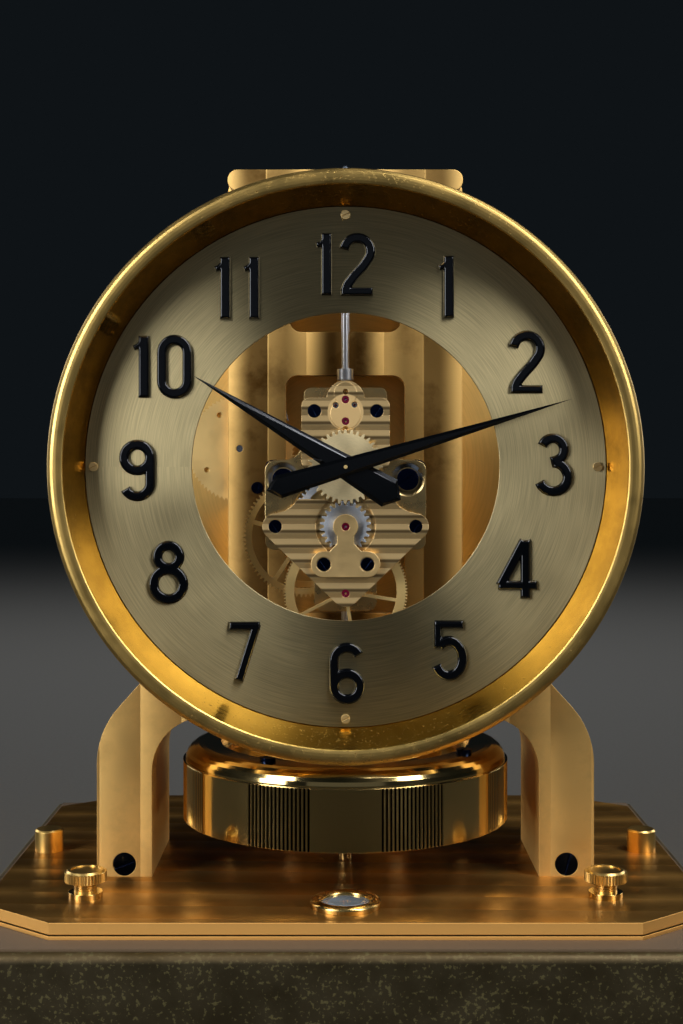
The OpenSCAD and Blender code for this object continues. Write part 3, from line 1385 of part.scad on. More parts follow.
// A hand is a long kite with a blunt tail, drilled for its pipe.
module hand_2d(length, tail, point, half) {
    polygon([[-0.15, length], [-half, -tail], [0, -point], [half, -tail], [0.15, length]]);
}
module hour_hand() {
    color("black") difference() {
        plate_at(hour_hand_back - hand_t, hour_hand_back) rotate(-hour_angle) {
            hand_2d(hour_len, 13.6, 17.1, 4.1);
            circle(pipe_r + 1.6);
        }
        rod_at(axis, hour_hand_back - 5, hour_hand_back + 1, pipe_r + 0.55 + fit);
    }
}
module minute_hand() {
    color("black") difference() {
        plate_at(minute_hand_back - hand_t, minute_hand_back) rotate(-minute_angle) {
            hand_2d(minute_len, 18.6, 21.9, 3.1);
            circle(pipe_r + 1.2);
        }
        rod_at(axis, minute_hand_back - 5, minute_hand_back + 1, pipe_r + fit);
    }
}

// Cap on the bracket, and the torsion wire that hangs from its stem to the staff.
module suspension() {
    stem_z = tower_top - bracket_h - 3;
    color("silver") translate([0, pendulum_y, axis_z]) {
        translate([0, 0, tower_top]) cylinder(h = 0.8, r = 2.6);
        translate([0, 0, tower_top + 1.5]) sphere(0.8);
        translate([0, 0, stem_z]) cylinder(h = tower_top - stem_z + 0.5, r = suspension_r - fit);
        translate([0, 0, staff_top - 4]) cylinder(h = stem_z + 1 - staff_top + 4, d = wire_d);
    }
}

rim_wall = 4;
rim_top = -pendulum_drop + pendulum_wall_h + pendulum_shoulder;
web_t = 3;
pendulum_screw_r = 39;
pendulum_screws_at = [for (i = [0:3]) polar(pendulum_screw_r, 45 + 90 * i + 12.5)];
module pendulum_rim() {
    r = pendulum_d / 2;
    wall_top = -pendulum_drop + pendulum_wall_h;
    curve_n = 6;
    curve = [for (i = [0:curve_n]) let(a = 90 * i / curve_n)
        [r - 0.8 - 5 * (1 - cos(a)), wall_top + 0.6 + (pendulum_shoulder - 0.6) * sin(a)]];
    color("gold") translate([0, pendulum_y, axis_z]) {
        translate([0, 0, -pendulum_drop]) linear_extrude(pendulum_wall_h) difference() {
            circle(r, $fn = 128);
            circle(r - rim_wall, $fn = 128);
            for (g = [0:flute_groups - 1], k = [0:flutes - 1])
                rotate(-90 + 360 * (g + 0.5) / flute_groups + (k - (flutes - 1) / 2) * flute_pitch)
                    translate([r, 0]) rotate(45) square(0.62, center = true);
        }
        difference() {
            rotate_extrude($fn = 128) polygon(concat([[r - rim_wall, wall_top], [r - 0.8, wall_top]], curve,
                [[r - 11, rim_top], [r - 11, rim_top - web_t], [r - rim_wall - 1, rim_top - web_t]]));
            for (p = pendulum_screws_at) translate([p.x, p.y, rim_top - web_t - 1]) cylinder(h = web_t + 2, r = 1.1);
        }
    }
}

spider_t = 2;
hub_drop = pendulum_drop - 1.5;
module pendulum_spider() {
    ring_r = pendulum_d / 2 - rim_wall - 1.4;
    hub_r = 7;
    top = rim_top - web_t;
    color("goldenrod") translate([0, pendulum_y, axis_z]) difference() {
        union() {
            translate([0, 0, top - spider_t]) linear_extrude(spider_t) {
                difference() {
                    circle(ring_r, $fn = 128);
                    circle(ring_r - 7, $fn = 128);
                }
                spokes_2d(4, hub_r / 2, ring_r - 3, 9, 45);
            }
            translate([0, 0, -hub_drop]) cylinder(h = top + hub_drop, r = hub_r);
            translate([0, 0, top - 1]) cylinder(h = staff_top - top + 1, d = staff_d);
            translate([0, 0, collar_z - 1.6]) cylinder(h = 3.2, d = collar_d);
            translate([0, 0, impulse_p.y - 1]) cylinder(h = 2, d = collar_d);
            translate([0, 0, impulse_p.y]) rotate([90, 0, 0]) cylinder(h = 4.4, r = 0.25);
        }
        translate([0, 0, -hub_drop - 1.5]) cylinder(h = 4, r1 = 2.4, r2 = 0.5);
        translate([0, 0, staff_top - 6]) cylinder(h = 7, d = wire_d + 4 * running);
        for (p = pendulum_screws_at) translate([p.x, p.y, top - spider_t - 1]) cylinder(h = 4, r = 1 + fit);
    }
}

module pendulum_screws() {
    color("midnightblue") for (p = pendulum_screws_at) translate([p.x, pendulum_y + p.y, axis_z + rim_top]) {
        rotate(p.x * 2) screw_head(2.2, 1.1, 0.6);
        translate([0, 0, -web_t - spider_t + 0.4]) cylinder(h = web_t + spider_t, r = 1);
    }
}

// The post rises into the hub's socket to hold the pendulum while the clock is carried.
module lock_post() {
    top = axis_z - pendulum_drop;
    foot = plinth_z - plinth_top_t - 3;
    cone_h = 2.9;
    color("gold") translate([0, pendulum_y, 0]) {
        translate([0, 0, foot]) cylinder(h = top - cone_h - foot, d = lock_d);
        translate([0, 0, top - cone_h]) cylinder(h = cone_h, d1 = lock_d, d2 = 1.2);
    }
}

plinth();
plinth_feet();
bottom_sheet();
cover_seat();
lower_plate();
upper_plate();
cover_posts();
levelling_bushes();
level_cup();
level_glass();
screw_pad_left();
screw_pad_right();
levelling_screw_left();
levelling_screw_right();
frame();
leg_screws();
top_bracket();
suspension();
movement_posts();
pillar_plate();
main_plate();
upper_bridge();
lower_bridge();
minute_cock();
movement_screws();
jewels();
train_bridge();
centre_arbor();
cannon_pinion();
minute_wheel();
hour_wheel();
third_wheel();
second_wheel();
escape_wheel();
pallet_lever();
pallet_stones();
idler_wheel();
winding_bridge();
barrel();
mainspring();
winding_arbor();
ratchet_wheel();
click();
guide_roller();
winding_chain();
bellows_drum();
drum_cover();
bellows_capsule();
bellows_spring();
pressure_plate();
bezel();
dial();
numerals();
dial_screws();
hour_hand();
minute_hand();
pendulum_rim();
pendulum_spider();
pendulum_screws();
lock_post();
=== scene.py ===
import math

import bpy
import numpy as np
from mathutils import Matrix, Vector


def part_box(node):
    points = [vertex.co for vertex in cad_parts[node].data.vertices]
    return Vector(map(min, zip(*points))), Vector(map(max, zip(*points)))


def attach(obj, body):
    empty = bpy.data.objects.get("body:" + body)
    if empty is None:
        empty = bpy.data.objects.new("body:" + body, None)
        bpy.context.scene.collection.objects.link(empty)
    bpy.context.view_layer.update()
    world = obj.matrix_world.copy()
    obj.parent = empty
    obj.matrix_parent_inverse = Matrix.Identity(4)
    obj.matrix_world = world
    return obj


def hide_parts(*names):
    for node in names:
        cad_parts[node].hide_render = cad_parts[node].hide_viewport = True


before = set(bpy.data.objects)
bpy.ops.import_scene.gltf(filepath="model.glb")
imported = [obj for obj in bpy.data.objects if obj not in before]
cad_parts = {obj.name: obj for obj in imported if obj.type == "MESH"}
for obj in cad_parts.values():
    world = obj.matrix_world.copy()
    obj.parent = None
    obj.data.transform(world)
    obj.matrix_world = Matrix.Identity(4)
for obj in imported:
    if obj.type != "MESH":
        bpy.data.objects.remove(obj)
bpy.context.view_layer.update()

# Plinth: a hollow box of brass sheet with a soft rounded edge. Its lacquer has worn off, so the
# brass has gone brown-green. It is rubbed bare along the edge and speckled all over the front.

MM_PER_M = 1000


def linear(code):
    """The linear colour of an sRGB hex value."""
    parts = [int(code[i:i + 2], 16) / 255 for i in (1, 3, 5)]
    return [c / 12.92 if c <= 0.04045 else ((c + 0.055) / 1.055) ** 2.4 for c in parts] + [1.0]


def add(material, kind, inputs, out=0, **settings):
    """Adds one shader node and returns one of its outputs. An input is a value or an output."""
    node = material.node_tree.nodes.new("ShaderNode" + kind)
    for name, value in settings.items():
        setattr(node, name, value)
    for name, value in inputs.items():
        if isinstance(value, bpy.types.NodeSocket):
            material.node_tree.links.new(value, node.inputs[name])
        else:
            node.inputs[name].default_value = value
    return node.outputs[out]


def begin(name, colour, metallic, roughness, **sockets):
    """A new material with its colour, metallic, roughness and any other sockets set."""
    material = bpy.data.materials.new(name)
    material.use_nodes = True
    shader = material.node_tree.nodes["Principled BSDF"]
    shader.inputs["Base Color"].default_value = linear(colour)
    shader.inputs["Metallic"].default_value = metallic
    shader.inputs["Roughness"].default_value = roughness
    for socket, value in sockets.items():
        shader.inputs[socket.replace("_", " ")].default_value = value
    return material


def lead(material, **outputs):
    """Leads outputs to the shader's sockets of the same names."""
    shader = material.node_tree.nodes["Principled BSDF"]
    for socket, output in outputs.items():
        material.node_tree.links.new(output, shader.inputs[socket.replace("_", " ")])


def dress(material, *nodes):
    """Gives the material to CAD nodes."""
    for node in nodes:
        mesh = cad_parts[node].data
        mesh.materials.clear()
        mesh.materials.append(material)


def place_of(material):
    """Where a point lies on the object, in millimetres, fixed to the piece when it moves."""
    spot = add(material, "TexCoord", {}, "Object")
    return add(material, "VectorMath", {0: spot, 1: (MM_PER_M,) * 3}, operation="MULTIPLY")


def soft_edges(material, radius_mm):
    """The normal with every edge broken by a small radius, as on real turned or filed brass."""
    return add(material, "Bevel", {"Radius": radius_mm / MM_PER_M}, samples=6)


def tarnished_brass():
    """Brass sheet gone dull: clouds of brown and olive, and pale specks about 1 mm across."""
    clouds_per_mm, specks_per_mm, speck_depth_mm = 0.06, 0.8, 0.05
    ledge_from_mm, ledge_to_mm = 21.5, 22.9
    rubbed_edge_mm, edge_mm = 1.2, 0.6
    material = begin("tarnished_brass", "#453B24", metallic=0.6, roughness=0.5)
    mm = place_of(material)
    clouds = add(material, "TexNoise",
                 {"Vector": mm, "Scale": clouds_per_mm, "Detail": 6.0, "Roughness": 0.62})
    specks = add(material, "TexNoise",
                 {"Vector": mm, "Scale": specks_per_mm, "Detail": 3.0, "Roughness": 0.6})
    crowd = add(material, "Math", {0: clouds, 1: 0.25, 2: specks}, operation="MULTIPLY_ADD")
    speck = add(material, "MapRange", {"Value": crowd, "From Min": 0.7, "From Max": 0.74})
    height = add(material, "SeparateXYZ", {"Vector": mm}, "Z")
    ledge = add(material, "MapRange",
                {"Value": height, "From Min": ledge_from_mm, "From Max": ledge_to_mm})
    dull = add(material, "MixRGB",
               {"Fac": clouds, "Color1": linear("#2A2416"), "Color2": linear("#4A4028")})
    dull_top = add(material, "MixRGB",
                   {"Fac": clouds, "Color1": linear("#43361E"), "Color2": linear("#5F4E2C")})
    base = add(material, "MixRGB", {"Fac": ledge, "Color1": dull, "Color2": dull_top})
    pale = add(material, "MixRGB", {"Fac": speck, "Color1": base, "Color2": linear("#655C39")})
    facing = add(material, "SeparateXYZ", {"Vector": soft_edges(material, rubbed_edge_mm)}, "Z")
    edge = add(material, "MapRange", {"Value": facing, "From Min": 0.05, "From Max": 0.5})
    top = add(material, "MapRange",
              {"Value": facing, "From Min": 0.72, "From Max": 0.97, "To Min": 1.0, "To Max": 0.0})
    rubbed = add(material, "Math", {0: edge, 1: top}, operation="MULTIPLY")
    rubbed = add(material, "Math", {0: rubbed, 1: specks}, operation="MULTIPLY")
    bare = add(material, "MixRGB", {"Fac": rubbed, "Color1": pale, "Color2": linear("#6A5736")})
    rough = add(material, "MapRange", {"Value": clouds, "From Min": 0.35, "From Max": 0.65,
                                       "To Min": 0.36, "To Max": 0.58})
    bump = add(material, "Bump",
               {"Height": speck, "Strength": 0.3, "Distance": speck_depth_mm / MM_PER_M,
                "Normal": soft_edges(material, edge_mm)})
    lead(material, Base_Color=bare, Roughness=rough, Normal=bump)
    return material


def plain(name, colour, metallic, roughness, grain_mm, bump_mm, edge_mm=0.15, **sockets):
    """A quiet finish with a fine grain of the given size, for pieces that hardly show."""
    material = begin(name, colour, metallic, roughness, **sockets)
    grain = add(material, "TexNoise",
                {"Vector": place_of(material), "Scale": 1 / grain_mm, "Detail": 3.0})
    bump = add(material, "Bump",
               {"Height": grain, "Strength": 0.5, "Distance": bump_mm / MM_PER_M,
                "Normal": soft_edges(material, edge_mm)})
    lead(material, Normal=bump)
    return material


dress(tarnished_brass(), "plinth")
dress(plain("black_rubber", "#17171A", metallic=0.0, roughness=0.62, grain_mm=0.5, bump_mm=0.03),
      "plinth_feet")
dress(plain("zinc_sheet", "#8C8F91", metallic=1.0, roughness=0.42, grain_mm=0.8, bump_mm=0.02),
      "bottom_sheet")
dress(plain("brown_felt", "#5A4730", metallic=0.0, roughness=0.9, grain_mm=0.3, bump_mm=0.08),
      "cover_seat")

# Deck: two brass plates, gold plated and ground in broad straight passes. Painted shade darkens
# every pass towards one side and lifts in a fine pale line where it begins. Their sawn edges are
# matt, and painted light gives them a paler gold.


def world_of(material, direction):
    """A direction fixed to the piece, as it lies in the world when the piece has moved."""
    return add(material, "VectorTransform", {"Vector": direction}, vector_type="VECTOR",
               convert_from="OBJECT", convert_to="WORLD")


def ground_gold(name, colour, roughness, anisotropy, across, pitch_mm, start_mm, lean, dim,
                quiet_dim, sawn_roughness):
    """Gold-plated brass, ground in passes: satin, with a band of painted shade along each pass.

    across points over the passes, and each pass leans that way by up to lean. dim is the depth of
    the painted shade, and quiet_dim the share of it that is left below the shoulders of the
    frame.
    """
    line_share = 0.04
    quiet_from_mm, quiet_to_mm = 75.0, 100.0
    stains_per_mm, grain_mm, streak_mm, grain_depth_mm, edge_mm = 0.07, 0.25, 3.0, 0.04, 0.22
    shaded_share = (0.12, 0.09, 0.06, 1.0)
    material = begin(name, colour, metallic=1.0, roughness=roughness, Anisotropic=anisotropy)
    mm = place_of(material)
    level = add(material, "VectorMath", {0: mm, 1: across}, "Value", operation="DOT_PRODUCT")
    turns = add(material, "Math", {0: level, 1: 1 / pitch_mm, 2: -start_mm / pitch_mm},
                operation="MULTIPLY_ADD")
    band = add(material, "Math", {0: turns}, operation="FRACT")
    count = add(material, "Math", {0: turns}, operation="FLOOR")
    chance = add(material, "TexWhiteNoise", {"W": count}, noise_dimensions="1D")
    # Painted shade: each pass darkens towards one side by a random depth up to dim, in place of
    # the changing sheen of the ground strokes.
    depth = add(material, "MapRange", {"Value": chance, "To Min": 0.6 * dim, "To Max": dim})
    swap = add(material, "Math", {0: count, 1: 2.0}, operation="FLOORED_MODULO")
    run = add(material, "Math", {0: band, 1: swap}, operation="SUBTRACT")
    run = add(material, "Math", {0: run}, operation="ABSOLUTE")
    shade = add(material, "MapRange", {"Value": run, "From Max": 0.6},
                interpolation_type="SMOOTHSTEP")
    shade = add(material, "Math", {0: shade, 1: depth}, operation="MULTIPLY")
    # Where each pass begins, the painted shade lifts in a fine pale line.
    line = add(material, "MapRange", {"Value": band, "From Min": 0.0, "From Max": line_share,
                                      "To Min": 0.2, "To Max": 1.0})
    shade = add(material, "Math", {0: shade, 1: line}, operation="MULTIPLY")
    height = add(material, "SeparateXYZ", {"Vector": mm}, "Z")
    # The painted shade is full above the shoulders and falls to quiet_dim's share below them.
    upper = add(material, "MapRange", {"Value": height, "From Min": quiet_from_mm,
                                       "From Max": quiet_to_mm, "To Min": quiet_dim})
    shade = add(material, "Math", {0: shade, 1: upper}, operation="MULTIPLY")
    face = add(material, "NewGeometry", {}, "Normal")
    square = add(material, "VectorMath", {0: face, 1: across}, "Value", operation="DOT_PRODUCT")
    square = add(material, "Math", {0: square}, operation="ABSOLUTE")
    ground = add(material, "MapRange", {"Value": square, "From Min": 0.3, "From Max": 0.6,
                                        "To Min": 1.0, "To Max": 0.0})
    shade = add(material, "Math", {0: shade, 1: ground}, operation="MULTIPLY")
    wear = add(material, "TexNoise",
               {"Vector": mm, "Scale": stains_per_mm, "Detail": 5.0, "Roughness": 0.6})
    stained = add(material, "MapRange", {"Value": wear, "From Min": 0.5, "From Max": 0.75,
                                         "To Min": 0.0, "To Max": 0.25})
    shade = add(material, "Math", {0: shade, 1: stained}, operation="ADD", use_clamp=True)
    # The colour that the painted shade darkens the gold towards.
    deep = [part * share for part, share in zip(linear(colour), shaded_share)]
    tone = add(material, "MixRGB", {"Fac": shade, "Color1": linear(colour), "Color2": deep})
    # Painted light: faces square to the passes, the sawn edges, take a paler gold.
    tone = add(material, "MixRGB", {"Fac": ground, "Color1": linear("#FFCD78"), "Color2": tone})
    grain_size = [grain_mm if abs(part) < 0.5 else streak_mm for part in across]
    stretched = add(material, "VectorMath", {0: mm, 1: [1 / size for size in grain_size]},
                    operation="MULTIPLY")
    grain = add(material, "TexNoise", {"Vector": stretched, "Scale": 1.0, "Detail": 2.0})
    bump = add(material, "Bump",
               {"Height": grain, "Strength": 0.5, "Distance": grain_depth_mm / MM_PER_M,
                "Normal": soft_edges(material, edge_mm)})
    side = add(material, "Math", {0: band, 1: 2 * lean, 2: -lean}, operation="MULTIPLY_ADD")
    lean_by = add(material, "VectorMath", {0: across, "Scale": side}, operation="SCALE")
    leant = add(material, "VectorMath", {0: bump, 1: world_of(material, lean_by)},
                operation="ADD")
    normal = add(material, "VectorMath", {0: leant}, operation="NORMALIZE")
    rough = add(material, "MapRange", {"Value": wear, "From Min": 0.35, "From Max": 0.7,
                                       "To Min": roughness, "To Max": roughness + 0.1})
    sawn = add(material, "MapRange", {"Value": ground, "To Min": sawn_roughness, "To Max": 0.0})
    rough = add(material, "Math", {0: rough, 1: sawn}, operation="MAXIMUM")
    along = [0.0, 1.0, 0.0] if abs(across[0]) > 0.5 else [1.0, 0.0, 0.0]
    brushed = add(material, "MixRGB", {"Fac": ground, "Color1": along + [1.0],
                                       "Color2": list(across) + [1.0]})
    lead(material, Base_Color=tone, Roughness=rough, Normal=normal,
         Tangent=world_of(material, brushed))
    return material


def polished_gold(name="polished_gold", colour="#E7C57C", roughness=0.12, pits=0.3, edge_mm=0.2):
    """Gold-plated brass, buffed: clear reflections, with a few pits and faint smears."""
    smears_per_mm, pits_per_mm, pit_depth_mm = 0.12, 1.1, 0.04
    material = begin(name, colour, metallic=1.0, roughness=roughness)
    mm = place_of(material)
    smears = add(material, "TexNoise",
                 {"Vector": mm, "Scale": smears_per_mm, "Detail": 4.0, "Roughness": 0.6})
    rough = add(material, "MapRange", {"Value": smears, "From Min": 0.35, "From Max": 0.7,
                                       "To Min": roughness, "To Max": roughness + 0.12})
    pit = add(material, "TexNoise", {"Vector": mm, "Scale": pits_per_mm, "Detail": 3.0})
    hollows = add(material, "MapRange", {"Value": pit, "From Min": 0.3, "From Max": 0.42})
    bump = add(material, "Bump",
               {"Height": hollows, "Strength": pits, "Distance": pit_depth_mm / MM_PER_M,
                "Normal": soft_edges(material, edge_mm)})
    lead(material, Roughness=rough, Normal=bump)
    return material


deck_gold = ground_gold("deck_gold", "#BE8E48", roughness=0.34, anisotropy=0.6,
                        across=(0.04, 1.0, 0.0), pitch_mm=11.2, start_mm=-48.4, lean=0.12,
                        dim=0.62, quiet_dim=1.0, sawn_roughness=0.7)
dress(deck_gold, "lower_plate", "upper_plate")
dress(polished_gold(), "levelling_bushes", "lock_post")
dress(polished_gold("post_gold", "#E9BF6C", roughness=0.3, pits=0.2, edge_mm=0.2), "cover_posts")
dress(polished_gold("knob_gold", "#D9B469", roughness=0.28, pits=0.2, edge_mm=0.08),
      "levelling_screw_left", "levelling_screw_right")

# Level: a turned and polished cup with a wide rounded rim, let into the deck, and a domed glass
# over the grey liquid. Two bright steel pads under the deck take the points of the screws.


def level_glass():
    """Clear glass over a grey liquid: dark from above, with bright reflections."""
    clouds_per_mm = 0.15
    material = begin("level_glass", "#8F9698", metallic=0.0, roughness=0.04, IOR=1.5,
                     Coat_Weight=1.0)
    ring = add(material, "TexNoise",
               {"Vector": place_of(material), "Scale": clouds_per_mm, "Detail": 1.0})
    tint = add(material, "MixRGB",
               {"Fac": ring, "Color1": linear("#4E5557"), "Color2": linear("#9AA1A3")})
    lead(material, Base_Color=tint)
    return material


polished_steel = plain("polished_steel", "#C9CCD0", metallic=1.0, roughness=0.16, grain_mm=0.4,
                       bump_mm=0.004, edge_mm=0.1)
dress(polished_gold("cup_gold", "#D6B26A", roughness=0.18, pits=0.15, edge_mm=0.3), "level_cup")
dress(level_glass(), "level_glass")
dress(polished_steel, "screw_pad_left", "screw_pad_right")

# Frame: one folded brass sheet, gold plated, ground in upright passes 11.4 mm wide. Blued screws
# hold its legs, and the wire of the pendulum hangs in a drawn steel stem from the top bracket.

# Painted shade darkens each pass, deep on the tower behind the dial and faint on the legs.
frame_gold = ground_gold("frame_gold", "#F4C878", roughness=0.52, anisotropy=0.3,
                         across=(1.0, 0.0, 0.0), pitch_mm=11.4, start_mm=-34.2, lean=0.2,
                         dim=1.0, quiet_dim=0.2, sawn_roughness=0.5)
dress(frame_gold, "frame", "top_bracket")
dress(plain("blued_steel", "#1A2440", metallic=1.0, roughness=0.2, grain_mm=0.4, bump_mm=0.004,
            edge_mm=0.12), "leg_screws", "movement_screws", "pendulum_screws")
dress(plain("drawn_steel", "#565C64", metallic=1.0, roughness=0.5, grain_mm=0.4, bump_mm=0.004,
            edge_mm=0.1), "suspension")

# Movement: plates and bridges of gilt brass. The bridges have thin bands ground across them,
# drawn as painted shade, and filed edges, the plates are polished, the wheels are gilt and the
# pinions are bright steel.

AXIS = Vector((0.0, 0.0, (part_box("bezel")[0].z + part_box("bezel")[1].z) / 2))
AXIS_HEIGHT_MM = 142.3
BAND_MM = 4.0
UPPER_BAND_MM = AXIS_HEIGHT_MM + 8.0
LOWER_BAND_MM = AXIS_HEIGHT_MM - 9.5
FROSTED_DISC_MM = (0.0, AXIS_HEIGHT_MM + 14.9, 4.9)
MOTION_ARBOR = AXIS + Vector((0.0, 0.0, -16.1)) / MM_PER_M


def banded_gold(name, first_mm, frosted=None):
    """Gilt brass with a thin band of painted shade every 4 mm that fades across each stripe, and
    a frosted disc where the jewels sit.
    """
    roughness, frosted_roughness = 0.46, 0.56
    grain_per_mm, grain_depth_mm, edge_mm, blend_mm = 3.0, 0.02, 0.2, 0.1
    material = begin(name, "#F3CF90", metallic=1.0, roughness=roughness)
    mm = place_of(material)
    height = add(material, "SeparateXYZ", {"Vector": mm}, "Z")
    turns = add(material, "Math", {0: height, 1: 1 / BAND_MM, 2: -first_mm / BAND_MM + 0.5},
                operation="MULTIPLY_ADD")
    band = add(material, "Math", {0: turns}, operation="FRACT")
    off = add(material, "Math", {0: band, 1: 0.5}, operation="SUBTRACT")
    apart = add(material, "Math", {0: off}, operation="ABSOLUTE")
    # Painted shade: a thin dark band at each stripe and a gradient across it, in place of the
    # stripes' sheen.
    shade = add(material, "MapRange", {"Value": apart, "From Min": 0.03, "From Max": 0.2,
                                       "To Min": 0.8, "To Max": 0.0},
                interpolation_type="SMOOTHSTEP")
    fall = add(material, "MapRange", {"Value": band, "To Min": 0.0, "To Max": 0.3},
               interpolation_type="SMOOTHSTEP")
    shade = add(material, "Math", {0: shade, 1: fall}, operation="MAXIMUM")
    lean = add(material, "MapRange", {"Value": off, "From Min": -0.25, "From Max": 0.25,
                                      "To Min": -0.22, "To Max": 0.22})
    if frosted:
        x, z, radius = frosted
        gap = add(material, "VectorMath", {0: mm, 1: (x, 0.0, z)}, operation="SUBTRACT")
        gap = add(material, "VectorMath", {0: gap, 1: (1.0, 0.0, 1.0)}, operation="MULTIPLY")
        reach = add(material, "VectorMath", {0: gap}, "Value", operation="LENGTH")
        clear = add(material, "MapRange", {"Value": reach, "From Min": radius - blend_mm,
                                           "From Max": radius + blend_mm})
        shade = add(material, "Math", {0: shade, 1: clear}, operation="MULTIPLY")
        lean = add(material, "Math", {0: lean, 1: clear}, operation="MULTIPLY")
        matt = add(material, "MapRange",
                   {"Value": clear, "To Min": frosted_roughness, "To Max": roughness})
        lead(material, Roughness=matt)
    tone = add(material, "MixRGB",
               {"Fac": shade, "Color1": linear("#F3CF90"), "Color2": linear("#3A2712")})
    grain = add(material, "TexNoise", {"Vector": mm, "Scale": grain_per_mm, "Detail": 2.0})
    bump = add(material, "Bump",
               {"Height": grain, "Strength": 0.3, "Distance": grain_depth_mm / MM_PER_M,
                "Normal": soft_edges(material, edge_mm)})
    lean_by = add(material, "CombineXYZ", {"Z": lean})
    leant = add(material, "VectorMath", {0: bump, 1: world_of(material, lean_by)},
                operation="ADD")
    normal = add(material, "VectorMath", {0: leant}, operation="NORMALIZE")
    lead(material, Base_Color=tone, Normal=normal)
    return material


def true_round(material, normal, arm, along):
    """The normal of a perfectly round wall, in place of the narrow flats of its mesh."""
    wall_from, wall_to = 0.96, 0.98
    out = add(material, "VectorMath", {0: world_of(material, arm)}, operation="NORMALIZE")
    axle = world_of(material, along)
    rise = add(material, "VectorMath", {0: normal, 1: axle}, "Value", operation="DOT_PRODUCT")
    outward = add(material, "VectorMath", {0: normal, 1: out}, "Value", operation="DOT_PRODUCT")
    level = add(material, "VectorMath", {0: normal, 1: axle}, operation="CROSS_PRODUCT")
    level = add(material, "VectorMath", {0: level}, "Value", operation="LENGTH")
    way = add(material, "Math", {0: outward}, operation="SIGN")
    share = add(material, "Math", {0: outward, 1: level}, operation="DIVIDE")
    share = add(material, "Math", {0: share}, operation="ABSOLUTE")
    wall = add(material, "MapRange", {"Value": share, "From Min": wall_from, "From Max": wall_to})
    swing = add(material, "Math", {0: level, 1: way}, operation="MULTIPLY")
    sideways = add(material, "VectorMath", {0: out, "Scale": swing}, operation="SCALE")
    upward = add(material, "VectorMath", {0: axle, "Scale": rise}, operation="SCALE")
    exact = add(material, "VectorMath", {0: sideways, 1: upward}, operation="ADD")
    mixed = add(material, "MixRGB", {"Fac": wall, "Color1": normal, "Color2": exact})
    return add(material, "VectorMath", {0: mixed}, operation="NORMALIZE")


def turned(name, colour, roughness, centre, axle, anisotropy, line_mm, line_depth_mm, groove_shade=0.2,
           edge_mm=0.15, **sockets):
    """Metal finished on the lathe: fine lines round the centre draw each highlight out across
    them. The lines are drawn coarser than real ones, because those are too fine to show, and
    painted shade darkens their grooves."""
    lines_broken, clouds_per_mm, groove_share = 4.0, 0.05, 0.62
    material = begin(name, colour, metallic=1.0, roughness=roughness, Anisotropic=anisotropy,
                     **sockets)
    mm = place_of(material)
    arm = add(material, "VectorMath", {0: mm, 1: [part * MM_PER_M for part in centre]},
              operation="SUBTRACT")
    along = [1.0 if letter == axle else 0.0 for letter in "XYZ"]
    arm = add(material, "VectorMath", {0: arm, 1: [1.0 - part for part in along]},
              operation="MULTIPLY")
    round_it = add(material, "VectorMath", {0: arm, 1: along}, operation="CROSS_PRODUCT")
    face = add(material, "NewGeometry", {}, "Normal")
    over = add(material, "VectorMath", {0: world_of(material, round_it), 1: face},
               operation="CROSS_PRODUCT")
    tangent = add(material, "VectorMath", {0: over}, operation="NORMALIZE")
    reach = add(material, "VectorMath", {0: arm}, "Value", operation="LENGTH")
    count = add(material, "Math", {0: reach, 1: line_mm}, operation="DIVIDE")
    level, upright = (add(material, "SeparateXYZ", {"Vector": arm}, letter)
                      for letter in "XYZ" if letter != axle)
    angle = add(material, "Math", {0: upright, 1: level}, operation="ARCTAN2")
    sweep = add(material, "Math", {0: angle, 1: lines_broken}, operation="MULTIPLY")
    polar = add(material, "CombineXYZ", {"X": count, "Y": sweep})
    lines = add(material, "TexNoise", {"Vector": polar, "Scale": 1.0, "Detail": 2.0},
                noise_dimensions="2D")
    base = true_round(material, soft_edges(material, edge_mm), arm, along)
    bump = add(material, "Bump",
               {"Height": lines, "Strength": 0.6, "Distance": line_depth_mm / MM_PER_M,
                "Normal": base})
    cloud = add(material, "TexNoise", {"Vector": mm, "Scale": clouds_per_mm, "Detail": 5.0})
    rough = add(material, "MapRange", {"Value": cloud, "From Min": 0.3, "From Max": 0.7,
                                       "To Min": roughness - 0.03, "To Max": roughness + 0.05})
    # Painted shade: the colour darkens in the grooves of the lines.
    dark = [part * groove_share for part in linear(colour)[:3]] + [1.0]
    drawn = add(material, "MapRange", {"Value": lines, "From Min": 0.35, "From Max": 0.65,
                                       "To Min": groove_shade, "To Max": 0.0})
    tone = add(material, "MixRGB", {"Fac": drawn, "Color1": linear(colour), "Color2": dark})
    lead(material, Base_Color=tone, Roughness=rough, Normal=bump, Tangent=tangent)
    return material


dress(banded_gold("upper_bridge_gold", UPPER_BAND_MM, FROSTED_DISC_MM), "upper_bridge")
dress(banded_gold("lower_bridge_gold", LOWER_BAND_MM),
      "lower_bridge", "train_bridge", "winding_bridge")
dress(polished_gold("cock_gold", "#EFCB8A", roughness=0.42, pits=0.2, edge_mm=0.3), "minute_cock")
dress(polished_gold("plate_gold", "#E8C685", roughness=0.24, pits=0.25, edge_mm=0.25),
      "main_plate", "pillar_plate", "movement_posts")
dress(turned("hour_wheel_gold", "#F6E0AC", roughness=0.5, centre=AXIS, axle="Y",
             anisotropy=0.6, line_mm=0.2, line_depth_mm=0.004, Anisotropic_Rotation=0.25),
      "hour_wheel")
dress(polished_gold("wheel_gold", "#F4D48E", roughness=0.46, pits=0.15, edge_mm=0.08),
      "centre_arbor", "third_wheel", "second_wheel", "escape_wheel", "idler_wheel", "barrel",
      "ratchet_wheel", "guide_roller")
dress(turned("motion_wheel_steel", "#D2D5D8", roughness=0.4, centre=MOTION_ARBOR, axle="Y",
             anisotropy=0.7, line_mm=0.2, line_depth_mm=0.004), "minute_wheel")
